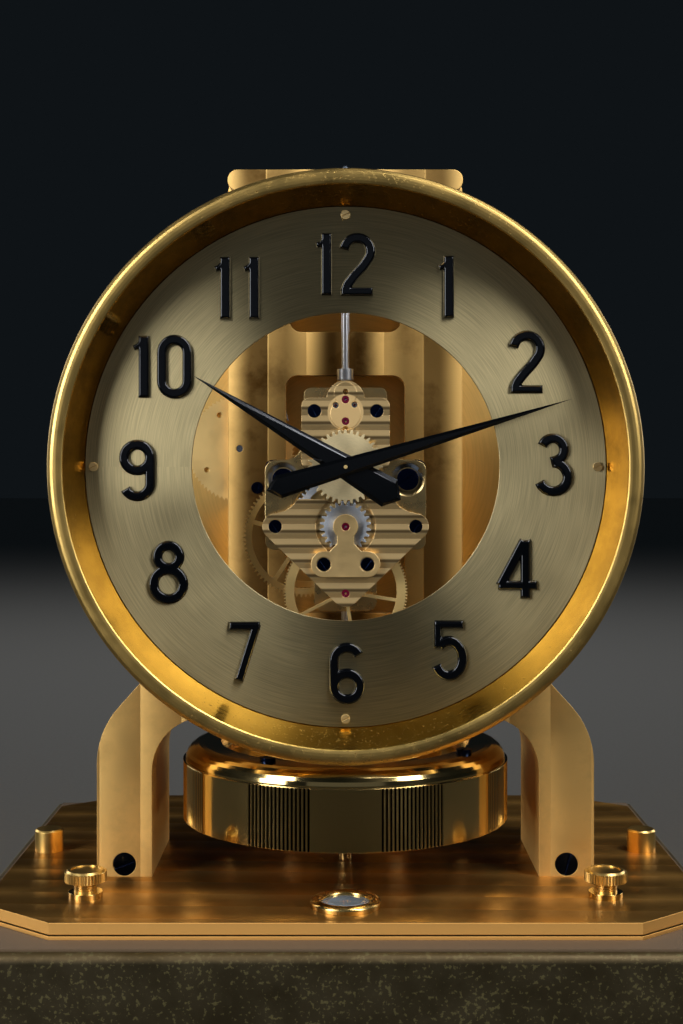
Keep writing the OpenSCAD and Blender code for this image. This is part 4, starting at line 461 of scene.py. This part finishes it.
dress(polished_steel, "cannon_pinion", "pallet_lever", "winding_arbor", "click", "winding_chain")
dress(plain("bearing_ruby", "#5C0622", metallic=0.0, roughness=0.05, grain_mm=0.5, bump_mm=0.002,
            edge_mm=0.05, Coat_Weight=1.0), "jewels", "pallet_stones")
dress(plain("spring_steel", "#6F7681", metallic=1.0, roughness=0.3, grain_mm=0.4, bump_mm=0.004),
      "mainspring", "bellows_spring")

# Winding drum: a deep cup of turned brass, gold plated, with a pressed cover. The capsule inside
# has the same gilding, and the plate that it pushes is plated steel sheet.

DRUM = (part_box("bellows_drum")[0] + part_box("bellows_drum")[1]) / 2
dress(turned("drum_gold", "#E7C072", roughness=0.4, centre=DRUM, axle="Y", anisotropy=0.6,
             line_mm=0.5, line_depth_mm=0.004), "bellows_drum", "drum_cover", "bellows_capsule")
dress(plain("plated_sheet", "#9A9C9E", metallic=1.0, roughness=0.35, grain_mm=0.8, bump_mm=0.01),
      "pressure_plate")

# Dial: a brass ring, turned with fine circular lines, under a thin champagne gilding. The lines
# make two fans of light, towards the lamps on the left and the right. It is screwed into the
# bezel, a polished brass cone with a rounded rim.


def pitted_gold():
    """Polished gold over brass, with pits at the top and the bottom, where damp got under it, and
    painted light and shade on its cone.
    """
    pits_per_mm, pit_depth_mm, smears_per_mm, edge_mm = 1.4, 0.06, 0.1, 0.4
    rim_from_mm, rim_to_mm = 73.7, 74.1
    damp_from_mm, damp_to_mm = 50.0, 80.0
    material = begin("pitted_gold", "#E7C57C", metallic=1.0, roughness=0.15)
    mm = place_of(material)
    height = add(material, "SeparateXYZ", {"Vector": mm}, "Z")
    from_axis = add(material, "Math", {0: height, 1: AXIS.z * MM_PER_M}, operation="SUBTRACT")
    far = add(material, "Math", {0: from_axis}, operation="ABSOLUTE")
    damp = add(material, "MapRange", {"Value": far, "From Min": damp_from_mm,
                                      "From Max": damp_to_mm, "To Min": 0.0, "To Max": 0.1})
    pits = add(material, "TexNoise",
               {"Vector": mm, "Scale": pits_per_mm, "Detail": 4.0, "Roughness": 0.6})
    eaten = add(material, "Math", {0: pits, 1: damp}, operation="ADD")
    pit = add(material, "MapRange", {"Value": eaten, "From Min": 0.68, "From Max": 0.78})
    arm = add(material, "VectorMath", {0: mm, 1: [part * MM_PER_M for part in AXIS]},
              operation="SUBTRACT")
    arm = add(material, "VectorMath", {0: arm, 1: (1.0, 0.0, 1.0)}, operation="MULTIPLY")
    reach = add(material, "VectorMath", {0: arm}, "Value", operation="LENGTH")
    rim = add(material, "MapRange",
              {"Value": reach, "From Min": rim_from_mm, "From Max": rim_to_mm})
    # Painted light: the cone is paler towards the bottom and darker towards the top.
    cone = add(material, "MapRange", {"Value": from_axis, "From Min": -75.0, "From Max": 10.0})
    cone_painted_light = add(material, "MixRGB",
                    {"Fac": cone, "Color1": linear("#F6C85C"), "Color2": linear("#C4923A")})
    plate = add(material, "MixRGB",
                {"Fac": rim, "Color1": cone_painted_light, "Color2": linear("#D0AC62")})
    tone = add(material, "MixRGB", {"Fac": pit, "Color1": plate, "Color2": linear("#6B4E22")})
    smears = add(material, "TexNoise",
                 {"Vector": mm, "Scale": smears_per_mm, "Detail": 7.0, "Roughness": 0.7})
    # Brown smears, and painted shade that makes them heavier towards the top and on the cone than
    # on the rim.
    brown = add(material, "MapRange", {"Value": smears, "From Min": 0.42, "From Max": 0.62,
                                       "To Min": 0.05, "To Max": 0.55})
    inner = add(material, "MapRange", {"Value": rim, "To Min": 1.0, "To Max": 0.35})
    brown = add(material, "Math", {0: brown, 1: inner}, operation="MULTIPLY")
    above = add(material, "MapRange", {"Value": from_axis, "From Min": -70.0, "From Max": 40.0,
                                       "To Min": 0.15})
    brown = add(material, "Math", {0: brown, 1: above}, operation="MULTIPLY")
    tone = add(material, "MixRGB", {"Fac": brown, "Color1": tone, "Color2": linear("#5A3A12")})
    rough = add(material, "MapRange", {"Value": smears, "From Min": 0.35, "From Max": 0.7,
                                       "To Min": 0.12, "To Max": 0.26})
    rough = add(material, "Math", {0: pit, 1: 0.3, 2: rough}, operation="MULTIPLY_ADD")
    rough = add(material, "Math", {0: rim, 1: 0.2, 2: rough}, operation="MULTIPLY_ADD")
    base = true_round(material, soft_edges(material, edge_mm), arm, [0.0, 1.0, 0.0])
    bump = add(material, "Bump",
               {"Height": pit, "Strength": 0.5, "Distance": pit_depth_mm / MM_PER_M,
                "Normal": base}, invert=True)
    lead(material, Base_Color=tone, Roughness=rough, Normal=bump)
    return material


dress(turned("dial_gold", "#CDBA89", roughness=0.385, centre=AXIS, axle="Y", anisotropy=0.9,
             line_mm=0.22, line_depth_mm=0.012, groove_shade=0.6, edge_mm=0.2), "dial")
dress(pitted_gold(), "bezel")
dress(polished_gold("screw_gold", "#EACB8C", roughness=0.4, pits=0.15, edge_mm=0.08),
      "dial_screws")

# Numerals: cast shapes with rounded edges, in deep glossy black enamel. Each stands on the dial
# and is built from strokes: a path in millimetres from the figure's middle, and its width.

NUMERAL_FOOT_MM = 0.3
NUMERAL_RISE_MM = 0.95
NUMERAL_EDGE_MM = 0.62
STROKE_SHARE = 1.14
FIGURE_HALF_MM = (6.4, 9.0)
FAR_OUTSIDE_MM = -9.0


def arc(centre, radii, start, end, steps=14):
    """Points of an ellipse from one angle to another, in degrees from the right."""
    angles = [math.radians(start + (end - start) * i / steps) for i in range(steps + 1)]
    return [(centre[0] + radii[0] * math.cos(a), centre[1] + radii[1] * math.sin(a))
            for a in angles]


SIX = [(arc((0, 3.6), (3.45, 3.45), 25, 180) + [(-3.45, -3.3)], 2.35),
       (arc((0, -3.3), (3.45, 3.45), 0, 360, 28), 2.35)]
FIGURES = {
    0: [(arc((0, 3.8), (3.4, 3.4), 0, 180) + arc((0, -3.8), (3.4, 3.4), 180, 360) + [(3.4, 3.8)],
         2.35)],
    1: [([(0, -8.25), (0, 8.25)], 2.5),
        ([(-0.3, 7.2), (-0.9, 6.2), (-1.7, 5.4), (-2.7, 5.0)], 1.25),
        ([(-0.3, 5.6), (-1.6, 5.2)], 1.6)],
    2: [(arc((0, 3.5), (3.55, 3.55), 172, -32) + [(1.5, -0.6), (-1.0, -3.3), (-2.6, -5.4),
                                                  (-3.3, -7.4)], 2.35),
        ([(-4.4, -7.3), (4.2, -7.3)], 1.9)],
    3: [(arc((0, 4.0), (3.0, 3.05), 160, -70) + [(-0.5, 0.75)], 2.3),
        (arc((0.1, -3.3), (3.85, 3.85), 88, -160), 2.35)],
    4: [([(2.05, -7.3), (2.05, 8.3)], 2.3), ([(-5.2, -3.8), (5.2, -3.8)], 2.1),
        ([(-4.6, -4.0), (1.8, 8.1)], 2.3)],
    5: [([(-4.1, 6.8), (3.7, 6.8)], 1.9), ([(-3.2, 7.6), (-3.2, 0.5)], 1.8),
        (arc((-0.2, -2.2), (3.6, 4.65), 138, -156, 20), 2.35)],
    6: SIX,
    7: [([(-4.3, 6.4), (4.0, 6.4)], 2.0), ([(3.1, 6.9), (-1.6, -8.1)], 2.1)],
    8: [(arc((0, 4.1), (2.95, 2.95), 0, 360, 28), 2.3),
        (arc((0, -3.25), (3.95, 3.95), 0, 360, 28), 2.35)],
    9: [([(-x, -z) for x, z in path], width) for path, width in SIX],
}
# Each numeral's place on the dial in millimetres from the axis, and its figures with their shift.
NUMERALS = {
    12: ((-0.5, 54.0), [(1, -4.6), (2, 3.6)]), 1: ((27.1, 48.0), [(1, 0.4)]),
    2: ((48.3, 28.0), [(2, 0)]), 3: ((55.2, 0.6), [(3, 0)]), 4: ((45.8, -27.7), [(4, 0)]),
    5: ((27.7, -48.8), [(5, 0)]), 6: ((0.4, -55.2), [(6, 0)]), 7: ((-26.8, -48.8), [(7, 0)]),
    8: ((-47.2, -28.0), [(8, 0)]), 9: ((-55.6, -0.8), [(9, 0)]),
    10: ((-48.8, 26.7), [(1, -5.0), (0, 3.2)]), 11: ((-29.2, 47.7), [(1, -2.9), (1, 4.8)]),
}


def depth_inside(strokes, x, z):
    """How far each point lies inside the outline of the strokes, in millimetres."""
    shortest, joined_mm = 1e-6, 0.5
    best = np.full(x.shape, FAR_OUTSIDE_MM)
    for path, width in strokes:
        inside = np.full(x.shape, FAR_OUTSIDE_MM)
        points = np.array(path, float)
        for (ax, az), (bx, bz) in zip(points[:-1], points[1:]):
            length = max(math.hypot(bx - ax, bz - az), shortest)
            ux, uz = (bx - ax) / length, (bz - az) / length
            along = (x - ax) * ux + (z - az) * uz
            side = (x - ax) * uz - (z - az) * ux
            beyond = along - np.clip(along, 0, length)
            inside = np.maximum(inside, width * STROKE_SHARE / 2 - np.hypot(beyond, side))
        if math.hypot(*(points[0] - points[-1])) > joined_mm:
            for end, before in ((points[0], points[1]), (points[-1], points[-2])):
                out = (end - before) / max(math.hypot(*(end - before)), shortest)
                past = (x - end[0]) * out[0] + (z - end[1]) * out[1]
                near = np.hypot(x - end[0], z - end[1]) < width
                inside = np.where(near, np.minimum(inside, -past), inside)
        best = np.maximum(best, inside)
    return best


def cast_figure(strokes, cell=0.16):
    """A figure's surface as points and faces: a rounded top, and walls down to the dial."""
    step, least_slope, far_half_cells = 0.02, 0.5, 1.5
    half_width, half_height = FIGURE_HALF_MM
    xs = np.arange(-half_width, half_width + 0.01, cell)
    zs = np.arange(-half_height, half_height + 0.01, cell)
    x, z = np.meshgrid(xs, zs)
    depth = depth_inside(strokes, x, z)
    slope_x = (depth_inside(strokes, x + step, z) - depth) / step
    slope_z = (depth_inside(strokes, x, z + step) - depth) / step
    steep = np.maximum(np.hypot(slope_x, slope_z), least_slope)
    outside = depth < 0
    x = np.where(outside, x - slope_x / steep ** 2 * depth, x)
    z = np.where(outside, z - slope_z / steep ** 2 * depth, z)
    rise = np.clip(depth / NUMERAL_EDGE_MM, 0, 1)
    height = NUMERAL_FOOT_MM + (NUMERAL_RISE_MM - NUMERAL_FOOT_MM) * (1 - (1 - rise) ** 2)
    index, points, faces = {}, [], []

    def point(i, j):
        if (i, j) not in index:
            index[i, j] = len(points)
            points.append((x[i, j], -height[i, j], z[i, j]))
        return index[i, j]

    for i in range(len(zs) - 1):
        for j in range(len(xs) - 1):
            corners = [(i, j), (i, j + 1), (i + 1, j + 1), (i + 1, j)]
            touches = any(not outside[c] for c in corners)
            if touches and max(-depth[c] for c in corners) < cell * far_half_cells:
                faces.append([point(*c) for c in corners])
    rims = {}
    for face in faces:
        for a, b in zip(face, face[1:] + face[:1]):
            rims[(a, b)] = rims.get((a, b), 0) + 1
    for a, b in [edge for edge in rims if edge[::-1] not in rims]:
        low = len(points)
        points += [(points[a][0], 0.0, points[a][2]), (points[b][0], 0.0, points[b][2])]
        faces.append([b, a, low, low + 1])
    return points, faces


def black_enamel():
    """Stoved black enamel: deep and glossy, with the slight waviness of a dipped coat."""
    waves_per_mm, wave_depth_mm = 0.5, 0.03
    material = begin("black_enamel", "#040507", metallic=0.0, roughness=0.1, IOR=1.5)
    wave = add(material, "TexNoise",
               {"Vector": place_of(material), "Scale": waves_per_mm, "Detail": 2.0})
    bump = add(material, "Bump",
               {"Height": wave, "Strength": 0.4, "Distance": wave_depth_mm / MM_PER_M})
    lead(material, Normal=bump)
    return material


def make_piece(name, points, faces, material, body, slot, smooth_to):
    """A mesh object from points in metres that rides on a body, smooth up to an angle."""
    mesh = bpy.data.meshes.new(name)
    mesh.from_pydata([tuple(p) for p in points], [], faces)
    mesh.validate()
    mesh.update()
    mesh.shade_smooth()
    mesh.set_sharp_from_angle(angle=math.radians(smooth_to))
    piece = bpy.data.objects.new(name, mesh)
    bpy.context.scene.collection.objects.link(piece)
    piece.data.materials.append(material)
    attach(piece, body)
    return piece


dial_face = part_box("dial")[0].y
points, faces = [], []
castings = {figure: cast_figure(strokes) for figure, strokes in FIGURES.items()}
for (right, up), parts in NUMERALS.values():
    for figure, shift in parts:
        first = len(points)
        shape, skin = castings[figure]
        points += [(AXIS.x + (right + shift + px) / MM_PER_M, dial_face + py / MM_PER_M,
                    AXIS.z + (up + pz) / MM_PER_M) for px, py, pz in shape]
        faces += [[first + corner for corner in face] for face in skin]
numerals = make_piece("cast_numerals", points, faces, black_enamel(), "platform", "black_gloss",
                      smooth_to=60)
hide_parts("numerals")

# Hands: long kites of steel under glossy black varnish. Wide bevels run along their edges and
# meet in a ridge near the point. Both are pressed onto the arbors in the middle of the dial.

HAND_MM = 0.85


def hand_points(length, shoulder, tail, half, back, bevel, clockwise):
    """Points and faces of one hand: outline below, outline above its wall, and the inset top."""
    wall_share, inset_share, end_share = 0.3, 1.12, 0.1
    outline = [(0.0, length), (half, -shoulder), (0.0, -tail), (-half, -shoulder)]
    slim = math.hypot(half, length + shoulder) / (length + shoulder)
    reach = length - bevel * slim * (length + shoulder) / half
    corner = math.hypot(half, tail - shoulder)
    low_end = -tail + bevel * corner / half
    inner_half = half - bevel * inset_share
    inner_low = -shoulder + bevel * end_share
    inset = [(0.0, reach), (inner_half, inner_low), (0.0, low_end), (-inner_half, inner_low)]
    layers = [(outline, 0.0), (outline, HAND_MM * wall_share), (inset, HAND_MM)]
    turn = math.radians(clockwise)
    points = []
    for shape, rise in layers:
        for px, pz in shape:
            side = px * math.cos(turn) + pz * math.sin(turn)
            up = pz * math.cos(turn) - px * math.sin(turn)
            points.append((AXIS.x + side / MM_PER_M, back - rise / MM_PER_M,
                           AXIS.z + up / MM_PER_M))
    faces = [[3, 2, 1, 0], [8, 9, 10, 11]]
    for base in (0, 4):
        faces += [[base + i, base + (i + 1) % 4, base + 4 + (i + 1) % 4, base + 4 + i]
                  for i in range(4)]
    return points, faces


def varnished_steel():
    """Steel under a coat of black varnish: glossy, with long soft reflections on the bevels."""
    waves_per_mm, wave_depth_mm = 0.3, 0.03
    material = begin("blackened_steel", "#040506", metallic=0.0, roughness=0.14, IOR=1.55)
    wave = add(material, "TexNoise",
               {"Vector": place_of(material), "Scale": waves_per_mm, "Detail": 2.0})
    bump = add(material, "Bump",
               {"Height": wave, "Strength": 0.3, "Distance": wave_depth_mm / MM_PER_M})
    lead(material, Normal=bump)
    return material


varnish = varnished_steel()
hour_shape = hand_points(length=47.5, shoulder=13.6, tail=17.1, half=4.17,
                         back=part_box("hour_hand")[1].y, bevel=1.0, clockwise=300.9)
hour = make_piece("hour_kite", *hour_shape, varnish, "hour_body", "black_gloss", smooth_to=5)
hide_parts("hour_hand")
minute_shape = hand_points(length=62.8, shoulder=18.5, tail=21.9, half=3.1,
                           back=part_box("minute_hand")[1].y, bevel=0.8, clockwise=73.3)
minute = make_piece("minute_kite", *minute_shape, varnish, "minute_hand_body", "black_gloss",
                    smooth_to=5)
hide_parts("minute_hand")

# Pendulum: a heavy brass rim, turned, gold plated and polished, with groups of cut flutes. The
# spider carries it on a steel staff, which runs up through the movement's window.

STAFF = Vector((0.0, -0.0105, 0.0))


def spider_metal():
    """Satin gold on the spider, and bright drawn steel from its hub upwards."""
    steel_from_mm, steel_to_mm = 72.0, 72.2
    gold_roughness, steel_roughness = 0.26, 0.4
    material = turned("spider_gold", "#E3BC70", gold_roughness, centre=STAFF, axle="Z",
                      anisotropy=0.5, line_mm=0.5, line_depth_mm=0.005)
    height = add(material, "SeparateXYZ", {"Vector": place_of(material)}, "Z")
    steel = add(material, "MapRange",
                {"Value": height, "From Min": steel_from_mm, "From Max": steel_to_mm})
    tone = add(material, "MixRGB",
               {"Fac": steel, "Color1": linear("#E3BC70"), "Color2": linear("#C2C6CC")})
    satin = add(material, "MapRange",
                {"Value": steel, "To Min": gold_roughness, "To Max": steel_roughness})
    lead(material, Base_Color=tone, Roughness=satin)
    return material


def rim_metal():
    """Polished gold. The flutes are left as cut, and painted shade makes their valleys black."""
    valley_mm, land_mm, inner_from_mm, inner_to_mm = 0.3, 0.04, 0.6, 0.5
    material = turned("rim_gold", "#E6C680", roughness=0.12, centre=STAFF, axle="Z",
                      anisotropy=0.3, line_mm=0.6, line_depth_mm=0.001)
    low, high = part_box("pendulum_rim")
    radius = (high.x - low.x) / 2 * MM_PER_M
    arm = add(material, "VectorMath",
              {0: place_of(material), 1: [part * MM_PER_M for part in STAFF]},
              operation="SUBTRACT")
    arm = add(material, "VectorMath", {0: arm, 1: (1.0, 1.0, 0.0)}, operation="MULTIPLY")
    reach = add(material, "VectorMath", {0: arm}, "Value", operation="LENGTH")
    # Painted shade blackens the valleys of the flutes.
    valley = add(material, "MapRange", {"Value": reach, "From Min": radius - valley_mm,
                                        "From Max": radius - land_mm, "To Min": 1.0,
                                        "To Max": 0.0})
    outer = add(material, "MapRange", {"Value": reach, "From Min": radius - inner_from_mm,
                                       "From Max": radius - inner_to_mm})
    valley = add(material, "Math", {0: valley, 1: outer}, operation="MULTIPLY")
    tone = add(material, "MixRGB",
               {"Fac": valley, "Color1": linear("#E6C680"), "Color2": linear("#140D05")})
    lead(material, Base_Color=tone)
    return material


dress(rim_metal(), "pendulum_rim")
dress(spider_metal(), "pendulum_spider")

# Studio: a pale floor with a lamp of its own above it, a tall soft lamp on each side of the
# clock, a broad faint one in front, and two low ones that light its back.

FLOOR_HALF_M = 6
DIAL_HEIGHT_M = 0.14

floor_mesh = bpy.data.meshes.new("floor")
floor_corners = [(x * FLOOR_HALF_M, y * FLOOR_HALF_M, 0)
                 for x, y in ((-1, -1), (1, -1), (1, 1), (-1, 1))]
floor_mesh.from_pydata(floor_corners, [], [[0, 1, 2, 3]])
floor = bpy.data.objects.new("floor", floor_mesh)
bpy.context.scene.collection.objects.link(floor)
floor_paint = begin("pale_paint", "#CFCDC8", metallic=0.0, roughness=0.7)
mottle = add(floor_paint, "TexNoise",
             {"Vector": place_of(floor_paint), "Scale": 0.5, "Detail": 4.0})
paint_tone = add(floor_paint, "MixRGB",
                 {"Fac": mottle, "Color1": linear("#C9C7C2"), "Color2": linear("#D5D3CE")})
lead(floor_paint, Base_Color=paint_tone)
floor.data.materials.append(floor_paint)


def soft_lamp(name, place, width, height, power, colour, target=(0, 0, DIAL_HEIGHT_M),
              floor_state="EXCLUDE"):
    """A soft box that the camera doesn't see. Flags keep it off the floor, or off all else."""
    lamp = bpy.data.lights.new(name, "AREA")
    lamp.shape, lamp.size, lamp.size_y, lamp.energy = "RECTANGLE", width, height, power
    lamp.color = linear(colour)[:3]
    holder = bpy.data.objects.new(name, lamp)
    holder.location = place
    holder.rotation_euler = (Vector(target) - Vector(place)).to_track_quat("-Z", "Y").to_euler()
    holder.visible_camera = False
    bpy.context.scene.collection.objects.link(holder)
    flags = bpy.data.collections.new(name + "_flags")
    flags.objects.link(floor)
    holder.light_linking.receiver_collection = flags
    flags.collection_objects[0].light_linking.link_state = floor_state


soft_lamp("lamp_left", (-0.70, -0.585, 0.42), width=0.32, height=0.95, power=9.5,
          colour="#F4F8FF")
soft_lamp("lamp_right", (0.70, -0.585, 0.95), width=0.32, height=1.4, power=18, colour="#F4F8FF")
soft_lamp("lamp_front", (0.0, -1.9, 0.7), width=2.0, height=1.2, power=0.8, colour="#E6EEFF")
soft_lamp("lamp_rear_left", (-0.9, 0.55, 0.4), width=0.5, height=0.6, power=3, colour="#F4F8FF")
soft_lamp("lamp_rear_right", (0.9, 0.55, 0.4), width=0.5, height=0.6, power=3, colour="#F4F8FF")
soft_lamp("lamp_floor", (0.0, 0.75, 1.0), width=0.9, height=0.6, power=1.6, colour="#FFFFFF",
          target=(0, 0.1, 0.0), floor_state="INCLUDE")
world = bpy.data.worlds.new("studio")
world.use_nodes = True
world.node_tree.nodes["Background"].inputs["Color"].default_value = linear("#0F1316")
world.node_tree.nodes["Background"].inputs["Strength"].default_value = 1.0
bpy.context.scene.world = world
bpy.context.scene.view_settings.view_transform = "Standard"

# Camera: level with the dial and 447.5 mm in front of the middle of the plinth. The middle of
# the dial lies above the middle of the picture, so the lens is shifted.

PICTURE_HEIGHT_PX = 1024
FOCAL_PX = 1500
DIAL_ROW_PX = 465
SENSOR_MM = 36

camera = bpy.data.cameras.new("camera")
camera.lens, camera.sensor_width = FOCAL_PX / PICTURE_HEIGHT_PX * SENSOR_MM, SENSOR_MM
camera.shift_y = -(PICTURE_HEIGHT_PX / 2 - DIAL_ROW_PX) / PICTURE_HEIGHT_PX
camera.clip_start = 0.01
stand = bpy.data.objects.new("camera", camera)
stand.location = (-0.0011, -0.4475, AXIS.z + 0.0005)
stand.rotation_euler = (math.pi / 2, 0, 0)
bpy.context.scene.collection.objects.link(stand)
bpy.context.scene.camera = stand
